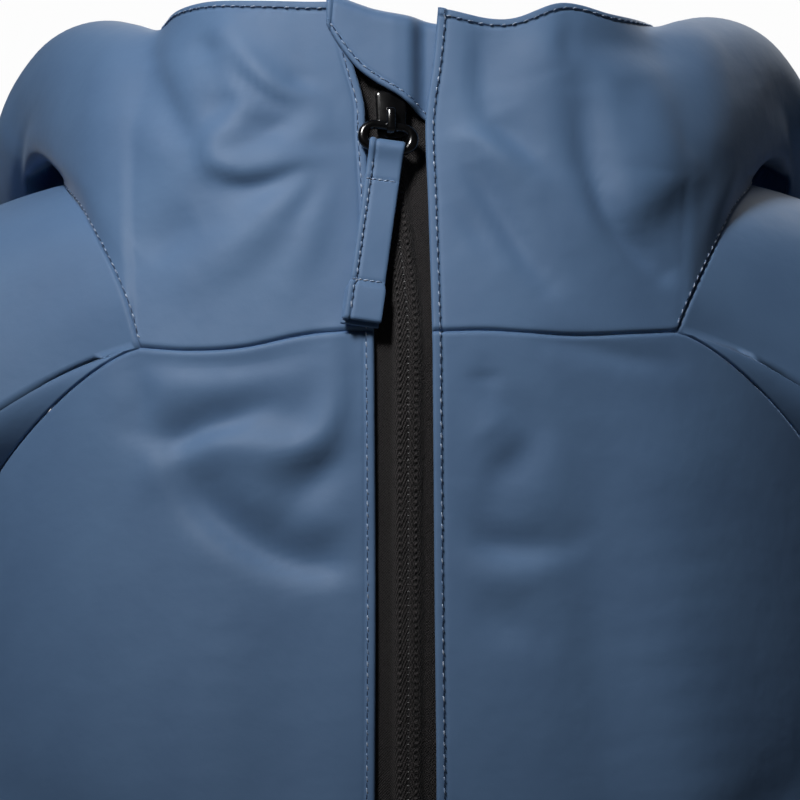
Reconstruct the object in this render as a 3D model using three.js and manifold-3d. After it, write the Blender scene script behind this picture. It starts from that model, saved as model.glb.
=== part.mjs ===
// A child's hooded raincoat, hollow and filled out as when it is worn, with the hood down.
// Millimetres, +Z up, the front faces -Y. "left" and "right" are as seen from the front.
// The origin is at the base of the neck, on the middle of the shoulder line.
import * as THREE from "three";
import { mergeVertices } from "three/addons/utils/BufferGeometryUtils.js";
import Module from "manifold-3d";

const wasm = await Module();
wasm.setup();

// Driving sizes
const clothWall = 1.2;
const seamGap = 0.3;
const hemZ = -530;
const chestZ = -38.6;
const chinZ = 50;
const armpitZ = -150;
const backNeckZ = -8;
const neckCornerX = 50;
const yokeCornerX = 73;
const roundness = 2.3;
const wallClearance = 0.3;

// Rings of the body: half width at the side seams, depth in front of them and behind them
const bodyRings = [
  { z: -530, half: 176, front: 119, back: 113 },
  { z: -400, half: 162, front: 115, back: 107 },
  { z: -280, half: 148, front: 111, back: 102 },
  { z: -150, half: 136, front: 106, back: 104 },
  { z: -90, half: 132, front: 99.5, back: 97 },
  { z: -38.6, half: 124, front: 92, back: 84 },
  { z: -8, half: 112, front: 82, back: 63 },
];

// Distance of each front edge from the middle, by height
const frontEdges = [
  { z: -530, left: 9, right: 9.5 },
  { z: -165, left: 8.6, right: 10 },
  { z: -111, left: 8.1, right: 8.9 },
  { z: -57, left: 8.6, right: 8.1 },
  { z: -39.6, left: 8.9, right: 7.2 },
  { z: -3, left: 10.4, right: 6.2 },
  { z: 16, left: 11.6, right: 5.4 },
  { z: 24, left: 12, right: 5.7 },
  { z: 35, left: 15.1, right: 7 },
  { z: 50, left: 19, right: 8.2 },
];

// Height of the chest seam, by the distance from the middle
const chestSeam = [
  { out: 8, left: -38.6, right: -38.6 },
  { out: 20, left: -38.6, right: -38.3 },
  { out: 30, left: -39.9, right: -38.8 },
  { out: 45, left: -43, right: -39.7 },
  { out: 60, left: -43.8, right: -39.2 },
  { out: 73, left: -42.9, right: -38.6 },
];

// Top edge of the hood in plan, from the zip round the neck to the middle of the back, and its height.
// In front of rimFrontY the y is that at the chin's height, and a lower stretch follows the front's slope.
const rimFrontY = -45;
const hoodRim = [
  { out: 8, y: -62, left: 50.2, right: 48.8 },
  { out: 27, y: -60.5, left: 50.4, right: 45.6 },
  { out: 42, y: -57.5, left: 50.4, right: 49.8 },
  { out: 55, y: -50, left: 50, right: 46.8 },
  { out: 63, y: -38, left: 47.6, right: 45 },
  { out: 67, y: -20, left: 44, right: 43 },
  { out: 69, y: 8, left: 41.5, right: 41 },
  { out: 71, y: 38, left: 39.5, right: 39.5 },
  { out: 69, y: 68, left: 37, right: 37 },
  { out: 57, y: 98, left: 33, right: 33 },
  { out: 31, y: 116, left: 30.5, right: 30.5 },
  { out: 0, y: 122, left: 30, right: 30 },
];

// Points of the shoulder seam between the yoke corner and the neck corner
const shoulderSeam = [
  { out: 77.5, y: -72.5, z: -28 },
  { out: 88, y: -48, z: -7 },
  { out: 95, y: -6, z: 3 },
  { out: 84, y: 32, z: 2 },
];

// How the hood leaves a straight line from its seam to its rim, by the share of the way:
// the roll at the side of the neck, and the bag that hangs on the back
const sideRoll = [
  { share: 0, out: 0, up: 0 },
  { share: 0.25, out: 12, up: 2 },
  { share: 0.5, out: 19, up: 8 },
  { share: 0.7, out: 18, up: 13 },
  { share: 0.86, out: 10, up: 10 },
  { share: 1, out: 0, up: 0 },
];
const backBag = [
  { share: 0, out: 0, up: 0 },
  { share: 0.08, out: 1, up: 21 },
  { share: 0.18, out: 9, up: -8 },
  { share: 0.34, out: 20, up: -95 },
  { share: 0.45, out: 24, up: -160 },
  { share: 0.52, out: 36, up: -190 },
  { share: 0.6, out: 50, up: -168 },
  { share: 0.75, out: 49, up: -104 },
  { share: 0.89, out: 33, up: -42 },
  { share: 1, out: 0, up: 0 },
];

// Stations round the hood: 0 zip, 1 yoke corner, 2 shoulder point, 3 neck corner, 4 middle of the back.
// Each has the strength of the roll, of the bag's depth and of its spread, and its share of the rim.
const hoodStations = [
  { at: 0, roll: 0, depth: 0, spread: 0, rim: 0 },
  { at: 1, roll: 0.35, depth: 0, spread: 0, rim: 0.25 },
  { at: 1.5, roll: 0.75, depth: 0, spread: 0, rim: 0.37 },
  { at: 2, roll: 1, depth: 0.06, spread: 0.2, rim: 0.48 },
  { at: 2.5, roll: 0.65, depth: 0.36, spread: 0.75, rim: 0.6 },
  { at: 3, roll: 0.15, depth: 0.84, spread: 1, rim: 0.77 },
  { at: 4, roll: 0, depth: 1, spread: 1, rim: 1 },
];

// Room between the lowered hood and the back under it
const hoodClearance = 6;

// Rings of the sleeve along its axis, from the upper arm to the cuff
const sleeveRings = [
  { along: 0, half: 40, depth: 60, forward: 0 },
  { along: 70, half: 40, depth: 53, forward: 2 },
  { along: 140, half: 38, depth: 45, forward: 8 },
  { along: 212, half: 36, depth: 38, forward: 18 },
];
const upperArm = { out: 194, y: -2, z: -164 };
const armLean = THREE.MathUtils.degToRad(12);
// Where the seam corners meet the upper arm's ring, in degrees from its inner side round by the front
const armTurns = [
  { at: 0, turn: 0 },
  { at: 1, turn: 100 },
  { at: 2, turn: 180 },
  { at: 3, turn: 256 },
  { at: 4, turn: 360 },
];

// Largest folds of the front, in front view: each follows a few points and is a ridge or, below 0, a valley
const frontFolds = [
  { points: [[-60, -70], [-47, -66], [-33, -68], [-22, -63], [-20, -50]], width: 6, height: 2.6 },
  { points: [[-72, -60], [-50, -56], [-32, -57]], width: 7, height: -2.4 },
  { points: [[-61, -74], [-48, -87], [-37, -92], [-21, -100]], width: 7, height: -3 },
  { points: [[-29, -82], [-16, -68]], width: 6, height: -1.8 },
  { points: [[-62, -150], [-60, -220], [-64, -330], [-66, -500]], width: 16, height: 3.4 },
  { points: [[-57, 10], [-44, 6], [-30, 9]], width: 6, height: 2 },
  { points: [[-50, -2], [-34, 2], [-26, 10]], width: 7, height: -2 },
  { points: [[-47, 36], [-40, 24], [-30, 18]], width: 6, height: -2.2 },
  { points: [[-72, 30], [-66, 18], [-60, 12]], width: 8, height: -2.4 },
  { points: [[50, 24], [50, 4], [55, -9], [68, -21]], width: 6, height: -3.4 },
  { points: [[57, 14], [58, 0], [64, -8]], width: 6, height: 2.2 },
  { points: [[16, 11], [19, 0], [31, -19]], width: 6, height: -2.2 },
  { points: [[17, 16], [27, 15], [37, 8]], width: 6, height: 1.8 },
  { points: [[18, 42], [18, 24]], width: 6, height: -1.6 },
  { points: [[26, -58], [31, -68], [27, -80]], width: 7, height: -2.2 },
  { points: [[17, -88], [25, -95], [42, -97]], width: 6, height: -2.4 },
  { points: [[17, -98], [26, -102], [40, -112]], width: 7, height: 2 },
  { points: [[70, -120], [84, -230], [92, -350], [98, -510]], width: 18, height: 4 },
  { points: [[110, -160], [66, -195], [34, -205]], width: 13, height: -2.6 },
  { points: [[-116, -165], [-76, -185], [-34, -190]], width: 12, height: -2.4 },
];

// Largest folds of the back, in back view
const backFolds = [
  { points: [[-118, -160], [-70, -200], [-10, -215]], width: 13, height: -3 },
  { points: [[120, -170], [74, -215], [18, -240]], width: 13, height: -3 },
  { points: [[-70, -270], [-84, -380], [-88, -510]], width: 18, height: 4 },
  { points: [[26, -290], [30, -400], [34, -510]], width: 18, height: 3.4 },
  { points: [[98, -280], [110, -400], [116, -510]], width: 16, height: 3.4 },
];

// Folds round the sleeve: place along it and round it, how far it slants, and its height
const sleeveFolds = [
  { along: 40, turn: 30, reach: 70, slant: 16, width: 8, height: -3 },
  { along: 78, turn: 50, reach: 80, slant: -14, width: 7, height: -3.2 },
  { along: 104, turn: 350, reach: 85, slant: 10, width: 7, height: -3 },
  { along: 134, turn: 70, reach: 90, slant: 16, width: 8, height: -2.4 },
  { along: 176, turn: 220, reach: 90, slant: -12, width: 8, height: -2 },
];

// Zip
const tapeThickness = 1;
const tapeHalf = 16;
const tapeTopZ = 43;
const zipBoxLength = 15;
const zipBoxHalf = 5;
const zipBottomZ = hemZ + 5;
const boxTop = zipBottomZ + zipBoxLength;
const tapeInsetLow = 1.4;
const tapeInsetHigh = 3;
const zipShift = -4.6;
const chainWidth = 5.9;
const chainHeight = 1.5;
const sliderZ = 20;
const sliderWidth = 8.9;
const sliderLow = -6.5;
const sliderHigh = 7.5;

// Puller
const ringWire = 2;
const ringWidth = 16.2;
const ringHeight = 9.2;
const ringX = -5;
const stripWidth = 10.3;
const stripThickness = 2.2;
const stripLength = 54;
const stripTilt = THREE.MathUtils.degToRad(7.9);
const stripLean = THREE.MathUtils.degToRad(19.8);

// Chin guard: height of its lower edge and of its top fold, by x, and how far it lies behind the front
const guardEdges = [
  { x: -22.4, low: 44.9, top: 54, depth: -1.9 },
  { x: -18.9, low: 39.2, top: 53.4, depth: -1.9 },
  { x: -14, low: 33, top: 51.6, depth: -1.9 },
  { x: -9.2, low: 29.2, top: 50, depth: -1.9 },
  { x: -2.2, low: 24.9, top: 48.6, depth: -1.9 },
  { x: 0.6, low: 22.7, top: 48.1, depth: -1.8 },
  { x: 2.8, low: 20.9, top: 47.7, depth: -0.4 },
  { x: 5, low: 19.2, top: 47.2, depth: 1.3 },
  { x: 8, low: 16.8, top: 46.6, depth: 1.5 },
  { x: 14, low: 13, top: 46, depth: 1.5 },
];
const guardInnerDepth = 6.4;
const guardInnerZ = 14;
const guardInnerDrop = 6;

// Materials
const cloth = new THREE.MeshStandardMaterial({ color: 0x577292, roughness: 0.55, metalness: 0 });
const tapeWeave = new THREE.MeshStandardMaterial({ color: 0x0d0d0f, roughness: 0.9, metalness: 0 });
const blackMetal = new THREE.MeshStandardMaterial({ color: 0x0b0b0c, roughness: 0.2, metalness: 0.8 });

const { lerp, clamp } = THREE.MathUtils;
const smooth = (from, to, x) => THREE.MathUtils.smoothstep(x, from, to);
const sideSign = { left: -1, right: 1 };

// Value of one column of a table at a place between its rows, on a smooth curve through them
function columnAt(rows, key, column, at) {
  const last = rows.length - 1;
  if (at <= rows[0][key]) return rows[0][column];
  if (at >= rows[last][key]) return rows[last][column];
  let i = 0;
  while (rows[i + 1][key] < at) i++;
  const slope = (k) => {
    const before = rows[Math.max(k - 1, 0)];
    const after = rows[Math.min(k + 1, last)];
    return (after[column] - before[column]) / (after[key] - before[key]);
  };
  const span = rows[i + 1][key] - rows[i][key];
  const t = (at - rows[i][key]) / span;
  const from = rows[i][column];
  const to = rows[i + 1][column];
  return (
    from * (2 * t ** 3 - 3 * t ** 2 + 1) +
    to * (3 * t ** 2 - 2 * t ** 3) +
    slope(i) * span * (t ** 3 - 2 * t ** 2 + t) +
    slope(i + 1) * span * (t ** 3 - t ** 2)
  );
}

// Body surface

// Point of the body at a height and a turn: 0 is the middle of the front, 90 the side and 180 the middle
// of the back
function bodyPoint(side, z, turn) {
  const a = THREE.MathUtils.degToRad(turn);
  const power = 2 / roundness;
  const half = columnAt(bodyRings, "z", "half", z);
  const depth = columnAt(bodyRings, "z", turn > 90 ? "back" : "front", z);
  const x = half * Math.sin(a) ** power;
  const y = -Math.sign(Math.cos(a)) * depth * Math.abs(Math.cos(a)) ** power;
  return new THREE.Vector3(sideSign[side] * x, turn === 90 ? 0 : y, z);
}

// Turn of the body point that lies a distance out from the middle
function turnAt(z, out) {
  const half = columnAt(bodyRings, "z", "half", z);
  return THREE.MathUtils.radToDeg(Math.asin(clamp(out / half, 0, 1) ** (roundness / 2)));
}

// Depth of the back surface at a place seen from behind
function backDepth(x, z) {
  const half = columnAt(bodyRings, "z", "half", z);
  const share = clamp(1 - (Math.abs(x) / half) ** roundness, 0, 1);
  return columnAt(bodyRings, "z", "back", z) * share ** (1 / roundness);
}

// Point of the front beside the zip, from the hem to the chin
function placketPoint(x, z) {
  const side = x < 0 ? "left" : "right";
  const out = Math.abs(x);
  const low = Math.min(z, chestZ);
  const point = bodyPoint(side, low, turnAt(low, out));
  if (z > chestZ) {
    const rimY = columnAt(hoodRim.slice(0, 5), "out", "y", out);
    point.y = lerp(point.y, rimY, (z - chestZ) / (chinZ - chestZ));
    point.z = z;
  }
  return point;
}

// Unit vector out of the front beside the zip
function placketNormal(z) {
  const step = 2;
  const rise = placketPoint(0, z + step).sub(placketPoint(0, z - step)).normalize();
  return new THREE.Vector3(1, 0, 0).cross(rise);
}

// Folds

// Height of a list of folds at a place in their view: soft across, and fading out at both ends
function foldHeight(folds, x, z) {
  let height = 0;
  for (const fold of folds) {
    const last = fold.points.length - 1;
    for (let i = 0, nearest = Infinity, value = 0; i <= last; i++) {
      if (i === last) {
        height += value;
        break;
      }
      const [ax, az] = fold.points[i];
      const [bx, bz] = fold.points[i + 1];
      const long = (bx - ax) ** 2 + (bz - az) ** 2;
      const t = clamp(((x - ax) * (bx - ax) + (z - az) * (bz - az)) / long, 0, 1);
      const away = Math.hypot(x - lerp(ax, bx, t), z - lerp(az, bz, t));
      if (away < nearest) {
        nearest = away;
        const along = (i + t) / last;
        const ends = 0.35 + 0.65 * Math.sin(Math.PI * clamp(along, 0.02, 0.98));
        value = fold.height * ends * Math.exp(-((away / fold.width) ** 2));
      }
    }
  }
  return height;
}

// A point of the front or the back moved out or in by the folds; the strips along the zip stay plain
function foldedPoint(point) {
  const radial = new THREE.Vector3(point.x * 0.6, point.y, 0).normalize();
  if (point.y < 0) {
    const beside = smooth(tapeHalf + 1, tapeHalf + 12, Math.abs(point.x - zipMiddle(point.z)));
    return point.clone().addScaledVector(radial, beside * foldHeight(frontFolds, point.x, point.z));
  }
  return point.clone().addScaledVector(radial, foldHeight(backFolds, -point.x, point.z));
}

// Seam lines, each a list of points that the panels on both sides share

const chestSteps = 8;
const raglanSteps = 7;
const shoulderSteps = 6;
const neckSteps = 5;
const frontRaglanBend = 1.35;
const backRaglanBend = 1.1;
const neckCornerZ = -4;

// From the zip to the yoke corner
function chestLine(side) {
  const points = [];
  for (let i = 0; i <= chestSteps; i++) {
    const edge = columnAt(frontEdges, "z", side, chestZ);
    const out = lerp(edge, yokeCornerX, i / chestSteps);
    const z = columnAt(chestSeam, "out", side, out);
    points.push(bodyPoint(side, z, turnAt(z, out)));
  }
  return points;
}

// From the yoke corner, or the neck corner on the back, to the armpit
function raglanLine(side, from, bend) {
  const turnFrom = from.y < 0 ? turnAt(from.z, Math.abs(from.x)) : 180 - turnAt(from.z, Math.abs(from.x));
  const points = [from.clone()];
  for (let i = 1; i <= raglanSteps; i++) {
    const share = i / raglanSteps;
    points.push(bodyPoint(side, lerp(from.z, armpitZ, share ** bend), lerp(turnFrom, 90, share)));
  }
  return points;
}

// From the yoke corner over the shoulder to the neck corner
function shoulderLine(side, from, to) {
  const sign = sideSign[side];
  const inner = shoulderSeam.map((row) => new THREE.Vector3(sign * row.out, row.y, row.z));
  const curve = new THREE.CatmullRomCurve3([from, ...inner, to], false, "centripetal");
  return curve.getSpacedPoints(2 * shoulderSteps);
}

// From the neck corner to the middle of the back
function neckLine(side, from) {
  const points = [from.clone()];
  for (let i = 1; i <= neckSteps; i++) {
    const share = i / neckSteps;
    const out = lerp(neckCornerX, 0, share);
    const z = lerp(from.z, backNeckZ, Math.sin((share * Math.PI) / 2));
    points.push(bodyPoint(side, z, 180 - turnAt(z, out)));
  }
  return points;
}

function seamLines(side) {
  const neckCorner = bodyPoint(side, neckCornerZ, 180 - turnAt(neckCornerZ, neckCornerX));
  const chest = chestLine(side);
  const frontRaglan = raglanLine(side, chest[chestSteps], frontRaglanBend);
  const backRaglan = raglanLine(side, neckCorner, backRaglanBend);
  const shoulder = shoulderLine(side, chest[chestSteps], neckCorner);
  const neck = neckLine(side, neckCorner);
  backRaglan[raglanSteps].copy(frontRaglan[raglanSteps]);
  return { chest, frontRaglan, backRaglan, shoulder, neck };
}

// Panels, each a grid of points in the middle of the cloth

const frontRows = 19;
const backRows = 16;
const hoodRows = 16;
const shoulderRows = 7;
const armRows = 9;

// Share of the way down for a row: the upper rows stand closer
const firstRowShare = 0.45;
const rowShare = (row, rows) => {
  const t = row / rows;
  return t * lerp(firstRowShare, 1, t);
};

// Below this share of the way down, the columns of a body panel stand evenly
const evenBelow = 0.7;

function frontPanel(side, seams) {
  const top = [...seams.chest, ...seams.frontRaglan.slice(1)];
  const grid = [];
  for (let row = 0; row <= frontRows; row++) {
    const share = rowShare(row, frontRows);
    const line = top.map((start, column) => {
      if (row === 0) return start;
      const z = lerp(start.z, hemZ, share);
      const edgeTurn = turnAt(z, columnAt(frontEdges, "z", side, z));
      const startEdge = turnAt(start.z, columnAt(frontEdges, "z", side, start.z));
      const startShare = (turnAt(start.z, Math.abs(start.x)) - startEdge) / (90 - startEdge);
      const even = smooth(0, evenBelow, share);
      const spread = lerp(column === 0 ? 0 : startShare, column / (top.length - 1), even);
      return bodyPoint(side, z, column === top.length - 1 ? 90 : lerp(edgeTurn, 90, spread));
    });
    grid.push(line.map(foldedPoint));
  }
  return grid;
}

function backPanel(seams) {
  const half = (side) => [...seams[side].backRaglan.slice(1).reverse(), ...seams[side].neck];
  const top = [...half("left"), ...half("right").reverse().slice(1)];
  const middle = (top.length - 1) / 2;
  const grid = [];
  for (let row = 0; row <= backRows; row++) {
    const share = rowShare(row, backRows);
    const line = top.map((start, column) => {
      if (row === 0) return start;
      const side = column < middle ? "left" : "right";
      const z = lerp(start.z, hemZ, share);
      const hemTurn = lerp(180, 90, Math.abs(column - middle) / middle);
      const atSideSeam = column === 0 || column === top.length - 1;
      const startTurn = 180 - turnAt(start.z, Math.abs(start.x));
      return bodyPoint(side, z, atSideSeam ? 90 : lerp(startTurn, hemTurn, smooth(0, evenBelow, share)));
    });
    grid.push(line.map(foldedPoint));
  }
  return grid;
}

// The hood half with its yoke: each column runs from the seam up to the rim, at the back by way of the bag
function hoodPanel(side, seams) {
  const sign = sideSign[side];
  const base = [...seams.chest, ...seams.shoulder.slice(1), ...seams.neck.slice(1)];
  const steps = [chestSteps, shoulderSteps, shoulderSteps, neckSteps];
  const stationOf = (column) => {
    let left = column;
    let station = 0;
    while (station < steps.length - 1 && left > steps[station]) left -= steps[station++];
    return station + left / steps[station];
  };
  const rimPoints = hoodRim.map((row) => {
    const y = row.y < rimFrontY ? placketPoint(sign * row.out, row[side]).y : row.y;
    return new THREE.Vector3(sign * row.out, y, row[side]);
  });
  rimPoints[0].x = sign * columnAt(frontEdges, "z", side, chinZ);
  const rim = new THREE.CatmullRomCurve3(rimPoints, false, "centripetal");
  const grid = [];
  for (let row = 0; row <= hoodRows; row++) {
    const share = row / hoodRows;
    grid.push(
      base.map((start, column) => {
        if (row === 0) return foldedPoint(start);
        const station = stationOf(column);
        const value = (name) => columnAt(hoodStations, "at", name, station);
        const point = start.clone().lerp(rim.getPointAt(clamp(value("rim"), 0, 1)), share);
        if (column === 0) {
          const z = lerp(start.z, rimPoints[0].z, share);
          return placketPoint(sign * columnAt(frontEdges, "z", side, z), z);
        }
        const sideways = new THREE.Vector3(start.x, start.y, 0).normalize();
        const behind = new THREE.Vector3(start.x * 0.4, Math.abs(start.y), 0).normalize();
        const roll = Math.max(value("roll"), 0);
        point.addScaledVector(sideways, roll * columnAt(sideRoll, "share", "out", share));
        point.z += roll * columnAt(sideRoll, "share", "up", share);
        point.addScaledVector(behind, value("spread") * columnAt(backBag, "share", "out", share));
        point.z += value("depth") * columnAt(backBag, "share", "up", share);
        if (station > 2.2 && point.z < start.z + 10) {
          const clear = hoodClearance * smooth(0, 0.2, share);
          point.y = Math.max(point.y, backDepth(point.x, point.z) + clear);
        }
        if (station === 4) point.x = 0;
        return point.clone().lerp(foldedPoint(point), 1 - smooth(1, 1.6, station));
      }),
    );
  }
  return grid;
}

// Point on the sleeve's ring at a distance along the arm
function armPoint(side, along, turn) {
  const sign = sideSign[side];
  const a = THREE.MathUtils.degToRad(turn);
  const inward = new THREE.Vector3(-Math.cos(armLean), 0, -Math.sin(armLean));
  const down = new THREE.Vector3(Math.sin(armLean), 0, -Math.cos(armLean));
  const centre = new THREE.Vector3(upperArm.out, upperArm.y, upperArm.z).addScaledVector(down, along);
  centre.y -= columnAt(sleeveRings, "along", "forward", along);
  let folds = 0;
  for (const fold of sleeveFolds) {
    const away = THREE.MathUtils.euclideanModulo(turn - fold.turn + 180, 360) - 180;
    const fade = Math.max(0, 1 - (away / fold.reach) ** 2);
    const offset = along - fold.along - (fold.slant * away) / fold.reach;
    folds += fold.height * fade * Math.exp(-((offset / fold.width) ** 2));
  }
  const half = columnAt(sleeveRings, "along", "half", along) + folds;
  const depth = columnAt(sleeveRings, "along", "depth", along) + folds;
  centre.addScaledVector(inward, half * Math.cos(a));
  centre.y -= depth * Math.sin(a);
  return new THREE.Vector3(sign * centre.x, centre.y, centre.z);
}

// Direction in which the sleeve leaves its seam loop, by seam corner, and how far that direction carries
const sleeveLeave = [
  { at: 0, x: 1, y: 0, z: -0.15, pull: 0.85 },
  { at: 0.5, x: 0.95, y: 0, z: -0.25, pull: 0.85 },
  { at: 1, x: 0.8, y: 0.5, z: -0.2, pull: 0.9 },
  { at: 2, x: 0.97, y: 0, z: -0.22, pull: 1.05 },
  { at: 3, x: 0.84, y: -0.35, z: -0.22, pull: 0.9 },
  { at: 3.5, x: 0.95, y: 0, z: -0.25, pull: 0.85 },
  { at: 4, x: 1, y: 0, z: -0.15, pull: 0.85 },
];

// The raglan sleeve: lines leave the seam loop along the body or the shoulder and turn down into the arm
function sleevePanel(side, seams) {
  const sign = sideSign[side];
  const loop = [
    ...[...seams.frontRaglan].reverse(),
    ...seams.shoulder.slice(1),
    ...seams.backRaglan.slice(1, raglanSteps),
  ].map(foldedPoint);
  const down = new THREE.Vector3(sign * Math.sin(armLean), 0, -Math.cos(armLean));
  const steps = [raglanSteps, shoulderSteps, shoulderSteps, raglanSteps];
  const stations = loop.map((_, column) => {
    let left = column;
    let station = 0;
    while (station < 3 && left > steps[station]) left -= steps[station++];
    return station + left / steps[station];
  });
  const grid = [];
  for (let row = 0; row <= shoulderRows + armRows; row++) {
    grid.push(
      loop.map((start, column) => {
        const station = stations[column];
        const turn = columnAt(armTurns, "at", "turn", station);
        if (row >= shoulderRows) {
          const along = ((row - shoulderRows) / armRows) * sleeveRings.at(-1).along;
          return armPoint(side, along, turn);
        }
        const t = row / shoulderRows;
        const end = armPoint(side, 0, turn);
        const reach = start.distanceTo(end);
        const out = new THREE.Vector3(
          sign * columnAt(sleeveLeave, "at", "x", station),
          columnAt(sleeveLeave, "at", "y", station),
          columnAt(sleeveLeave, "at", "z", station),
        ).normalize();
        const pull = columnAt(sleeveLeave, "at", "pull", station) * reach;
        return start
          .clone()
          .multiplyScalar(2 * t ** 3 - 3 * t ** 2 + 1)
          .addScaledVector(out, pull * (t ** 3 - 2 * t ** 2 + t))
          .addScaledVector(end, 3 * t ** 2 - 2 * t ** 3)
          .addScaledVector(down, pull * (t ** 3 - t ** 2));
      }),
    );
  }
  return grid;
}

// Distance of the zip tape behind the front, and the place of the zip's middle
const tapeInset = (z) => lerp(tapeInsetLow, tapeInsetHigh, smooth(-12, 12, z));
const zipMiddle = (z) => zipShift * smooth(-42, 12, z);

// A tape: it runs down to the box in even rows, then beside the box; above the slider it spreads
function tapePanel(side) {
  const sign = sideSign[side];
  const columns = 3;
  const rows = 26;
  const lowRows = [boxTop + 1, zipBottomZ];
  const topSpread = 2.7;
  const grid = [];
  for (let row = 0; row <= rows + 2; row++) {
    const besideBox = row > rows;
    const upper = lerp(tapeTopZ, boxTop + 5, rowShare(row, rows));
    const z = besideBox ? lowRows[row - rows - 1] : upper;
    const spread = topSpread * smooth(sliderZ - 4, tapeTopZ, z);
    const inner = wallClearance + spread + (besideBox ? zipBoxHalf + wallClearance : 0);
    const line = [];
    for (let column = 0; column <= columns; column++) {
      const x = zipMiddle(z) + sign * lerp(inner, tapeHalf, column / columns);
      line.push(placketPoint(x, z).addScaledVector(placketNormal(z), -tapeInset(z)));
    }
    grid.push(line);
  }
  return grid;
}

// The chin guard: up the front, over its top fold and down the inside
function guardPanel() {
  const columns = 14;
  const leafRows = 5;
  const foldRows = 6;
  const grid = [];
  for (let row = 0; row <= 2 * leafRows + foldRows; row++) {
    const line = [];
    for (let column = 0; column <= columns; column++) {
      const x = lerp(guardEdges[0].x, guardEdges.at(-1).x, column / columns);
      const front = columnAt(guardEdges, "x", "depth", x);
      const low = columnAt(guardEdges, "x", "low", x);
      const top = columnAt(guardEdges, "x", "top", x);
      const radius = (guardInnerDepth - front) / 2;
      const foldZ = top - radius;
      let z;
      let depth;
      if (row <= leafRows) {
        z = lerp(low, foldZ, row / leafRows);
        depth = front;
      } else if (row < leafRows + foldRows) {
        const a = (Math.PI * (row - leafRows)) / foldRows;
        z = foldZ + radius * Math.sin(a);
        depth = front + radius * (1 - Math.cos(a));
      } else {
        const innerLow = Math.max(guardInnerZ, low - guardInnerDrop);
        z = lerp(foldZ, innerLow, (row - leafRows - foldRows) / leafRows);
        depth = guardInnerDepth;
      }
      line.push(placketPoint(x, z).addScaledVector(placketNormal(z), -depth));
    }
    grid.push(line);
  }
  return grid;
}

// Walls

const keyOf = (point) => point.toArray().map((v) => v.toFixed(3)).join(" ");

// Unit normals of a grid; facing is 1 or -1, and a tube's columns run round
function gridNormals(grid, facing, tube) {
  const rows = grid.length - 1;
  const columns = grid[0].length - 1;
  return grid.map((line, row) =>
    line.map((_, column) => {
      const before = tube && column === 0 ? columns : Math.max(column - 1, 0);
      const after = tube && column === columns ? 0 : Math.min(column + 1, columns);
      const across = line[after].clone().sub(line[before]);
      const below = grid[Math.min(row + 1, rows)][column];
      const above = grid[Math.max(row - 1, 0)][column];
      return across.cross(below.clone().sub(above)).multiplyScalar(facing).normalize();
    }),
  );
}

// The sum of the normals of all the panels that meet at a border point
function sharedNormals(panels) {
  const shared = new Map();
  for (const { grid, normals } of panels) {
    grid.forEach((line, row) =>
      line.forEach((point, column) => {
        if (row > 0 && row < grid.length - 1 && column > 0 && column < line.length - 1) return;
        const key = keyOf(point);
        if (!shared.has(key)) shared.set(key, new THREE.Vector3());
        shared.get(key).add(normals[row][column]);
      }),
    );
  }
  for (const sum of shared.values()) sum.normalize();
  return shared;
}

// Step from a border point into its own panel, across the seam and in the cloth
function stepIn(point, inner, before, after, normal, distance) {
  const step = inner.clone().sub(point);
  const seam = after.clone().sub(before).normalize();
  step.addScaledVector(seam, -step.dot(seam));
  step.addScaledVector(normal, -step.dot(normal));
  return step.normalize().multiplyScalar(distance);
}

// Smallest cosine between a panel and its seam's normal that a mitre is drawn out for
const mitreLimit = 0.8;

// A closed wall round a grid: its borders step back by half a seam gap and take the seam's own normal,
// so that two panels meet in a mitre
function wallGeometry({ grid, normals, tube, thickness }, shared) {
  // The sharp corner under the arm needs a little more room
  const setBack = tube ? seamGap : seamGap / 2;
  const rows = grid.length - 1;
  const width = grid[0].length;
  const columns = width - 1;
  const outer = [];
  const inner = [];
  grid.forEach((line, row) =>
    line.forEach((point, column) => {
      const own = normals[row][column];
      const normal = shared.get(keyOf(point)) ?? own;
      const border = row === 0 || row === rows || (!tube && (column === 0 || column === columns));
      const cosine = border ? Math.max(normal.dot(own), mitreLimit) : 1;
      const offset = (border ? normal : own).clone().multiplyScalar(thickness / 2 / cosine);
      const moved = point.clone();
      const columnOf = (c) => (tube ? (c + width) % width : clamp(c, 0, columns));
      const at = (r, c) => grid[clamp(r, 0, rows)][columnOf(c)];
      const back = (next, before, after) =>
        moved.add(stepIn(point, next, before, after, normal, setBack));
      if (row === 0 || row === rows)
        back(at(row === 0 ? 1 : rows - 1, column), at(row, column - 1), at(row, column + 1));
      if (!tube && (column === 0 || column === columns))
        back(at(row, column === 0 ? 1 : columns - 1), at(row - 1, column), at(row + 1, column));
      outer.push(moved.clone().add(offset));
      inner.push(moved.clone().sub(offset));
    }),
  );
  const count = outer.length;
  const index = [];
  const quad = (a, b, c, d) => index.push(a, b, c, a, c, d);
  const id = (row, column) => row * width + (column % width);
  const across = tube ? width : columns;
  for (let row = 0; row < rows; row++)
    for (let column = 0; column < across; column++) {
      const [a, b] = [id(row, column), id(row, column + 1)];
      const [d, c] = [id(row + 1, column), id(row + 1, column + 1)];
      quad(a, b, c, d);
      quad(a + count, d + count, c + count, b + count);
    }
  for (let column = 0; column < across; column++) {
    const [a, b] = [id(0, column), id(0, column + 1)];
    const [c, d] = [id(rows, column), id(rows, column + 1)];
    quad(b, a, a + count, b + count);
    quad(c, d, d + count, c + count);
  }
  if (!tube)
    for (let row = 0; row < rows; row++) {
      const [a, b] = [id(row, 0), id(row + 1, 0)];
      const [c, d] = [id(row, columns), id(row + 1, columns)];
      quad(a, b, b + count, a + count);
      quad(d, c, c + count, d + count);
    }
  return closedGeometry([...outer, ...inner], index);
}

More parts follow.
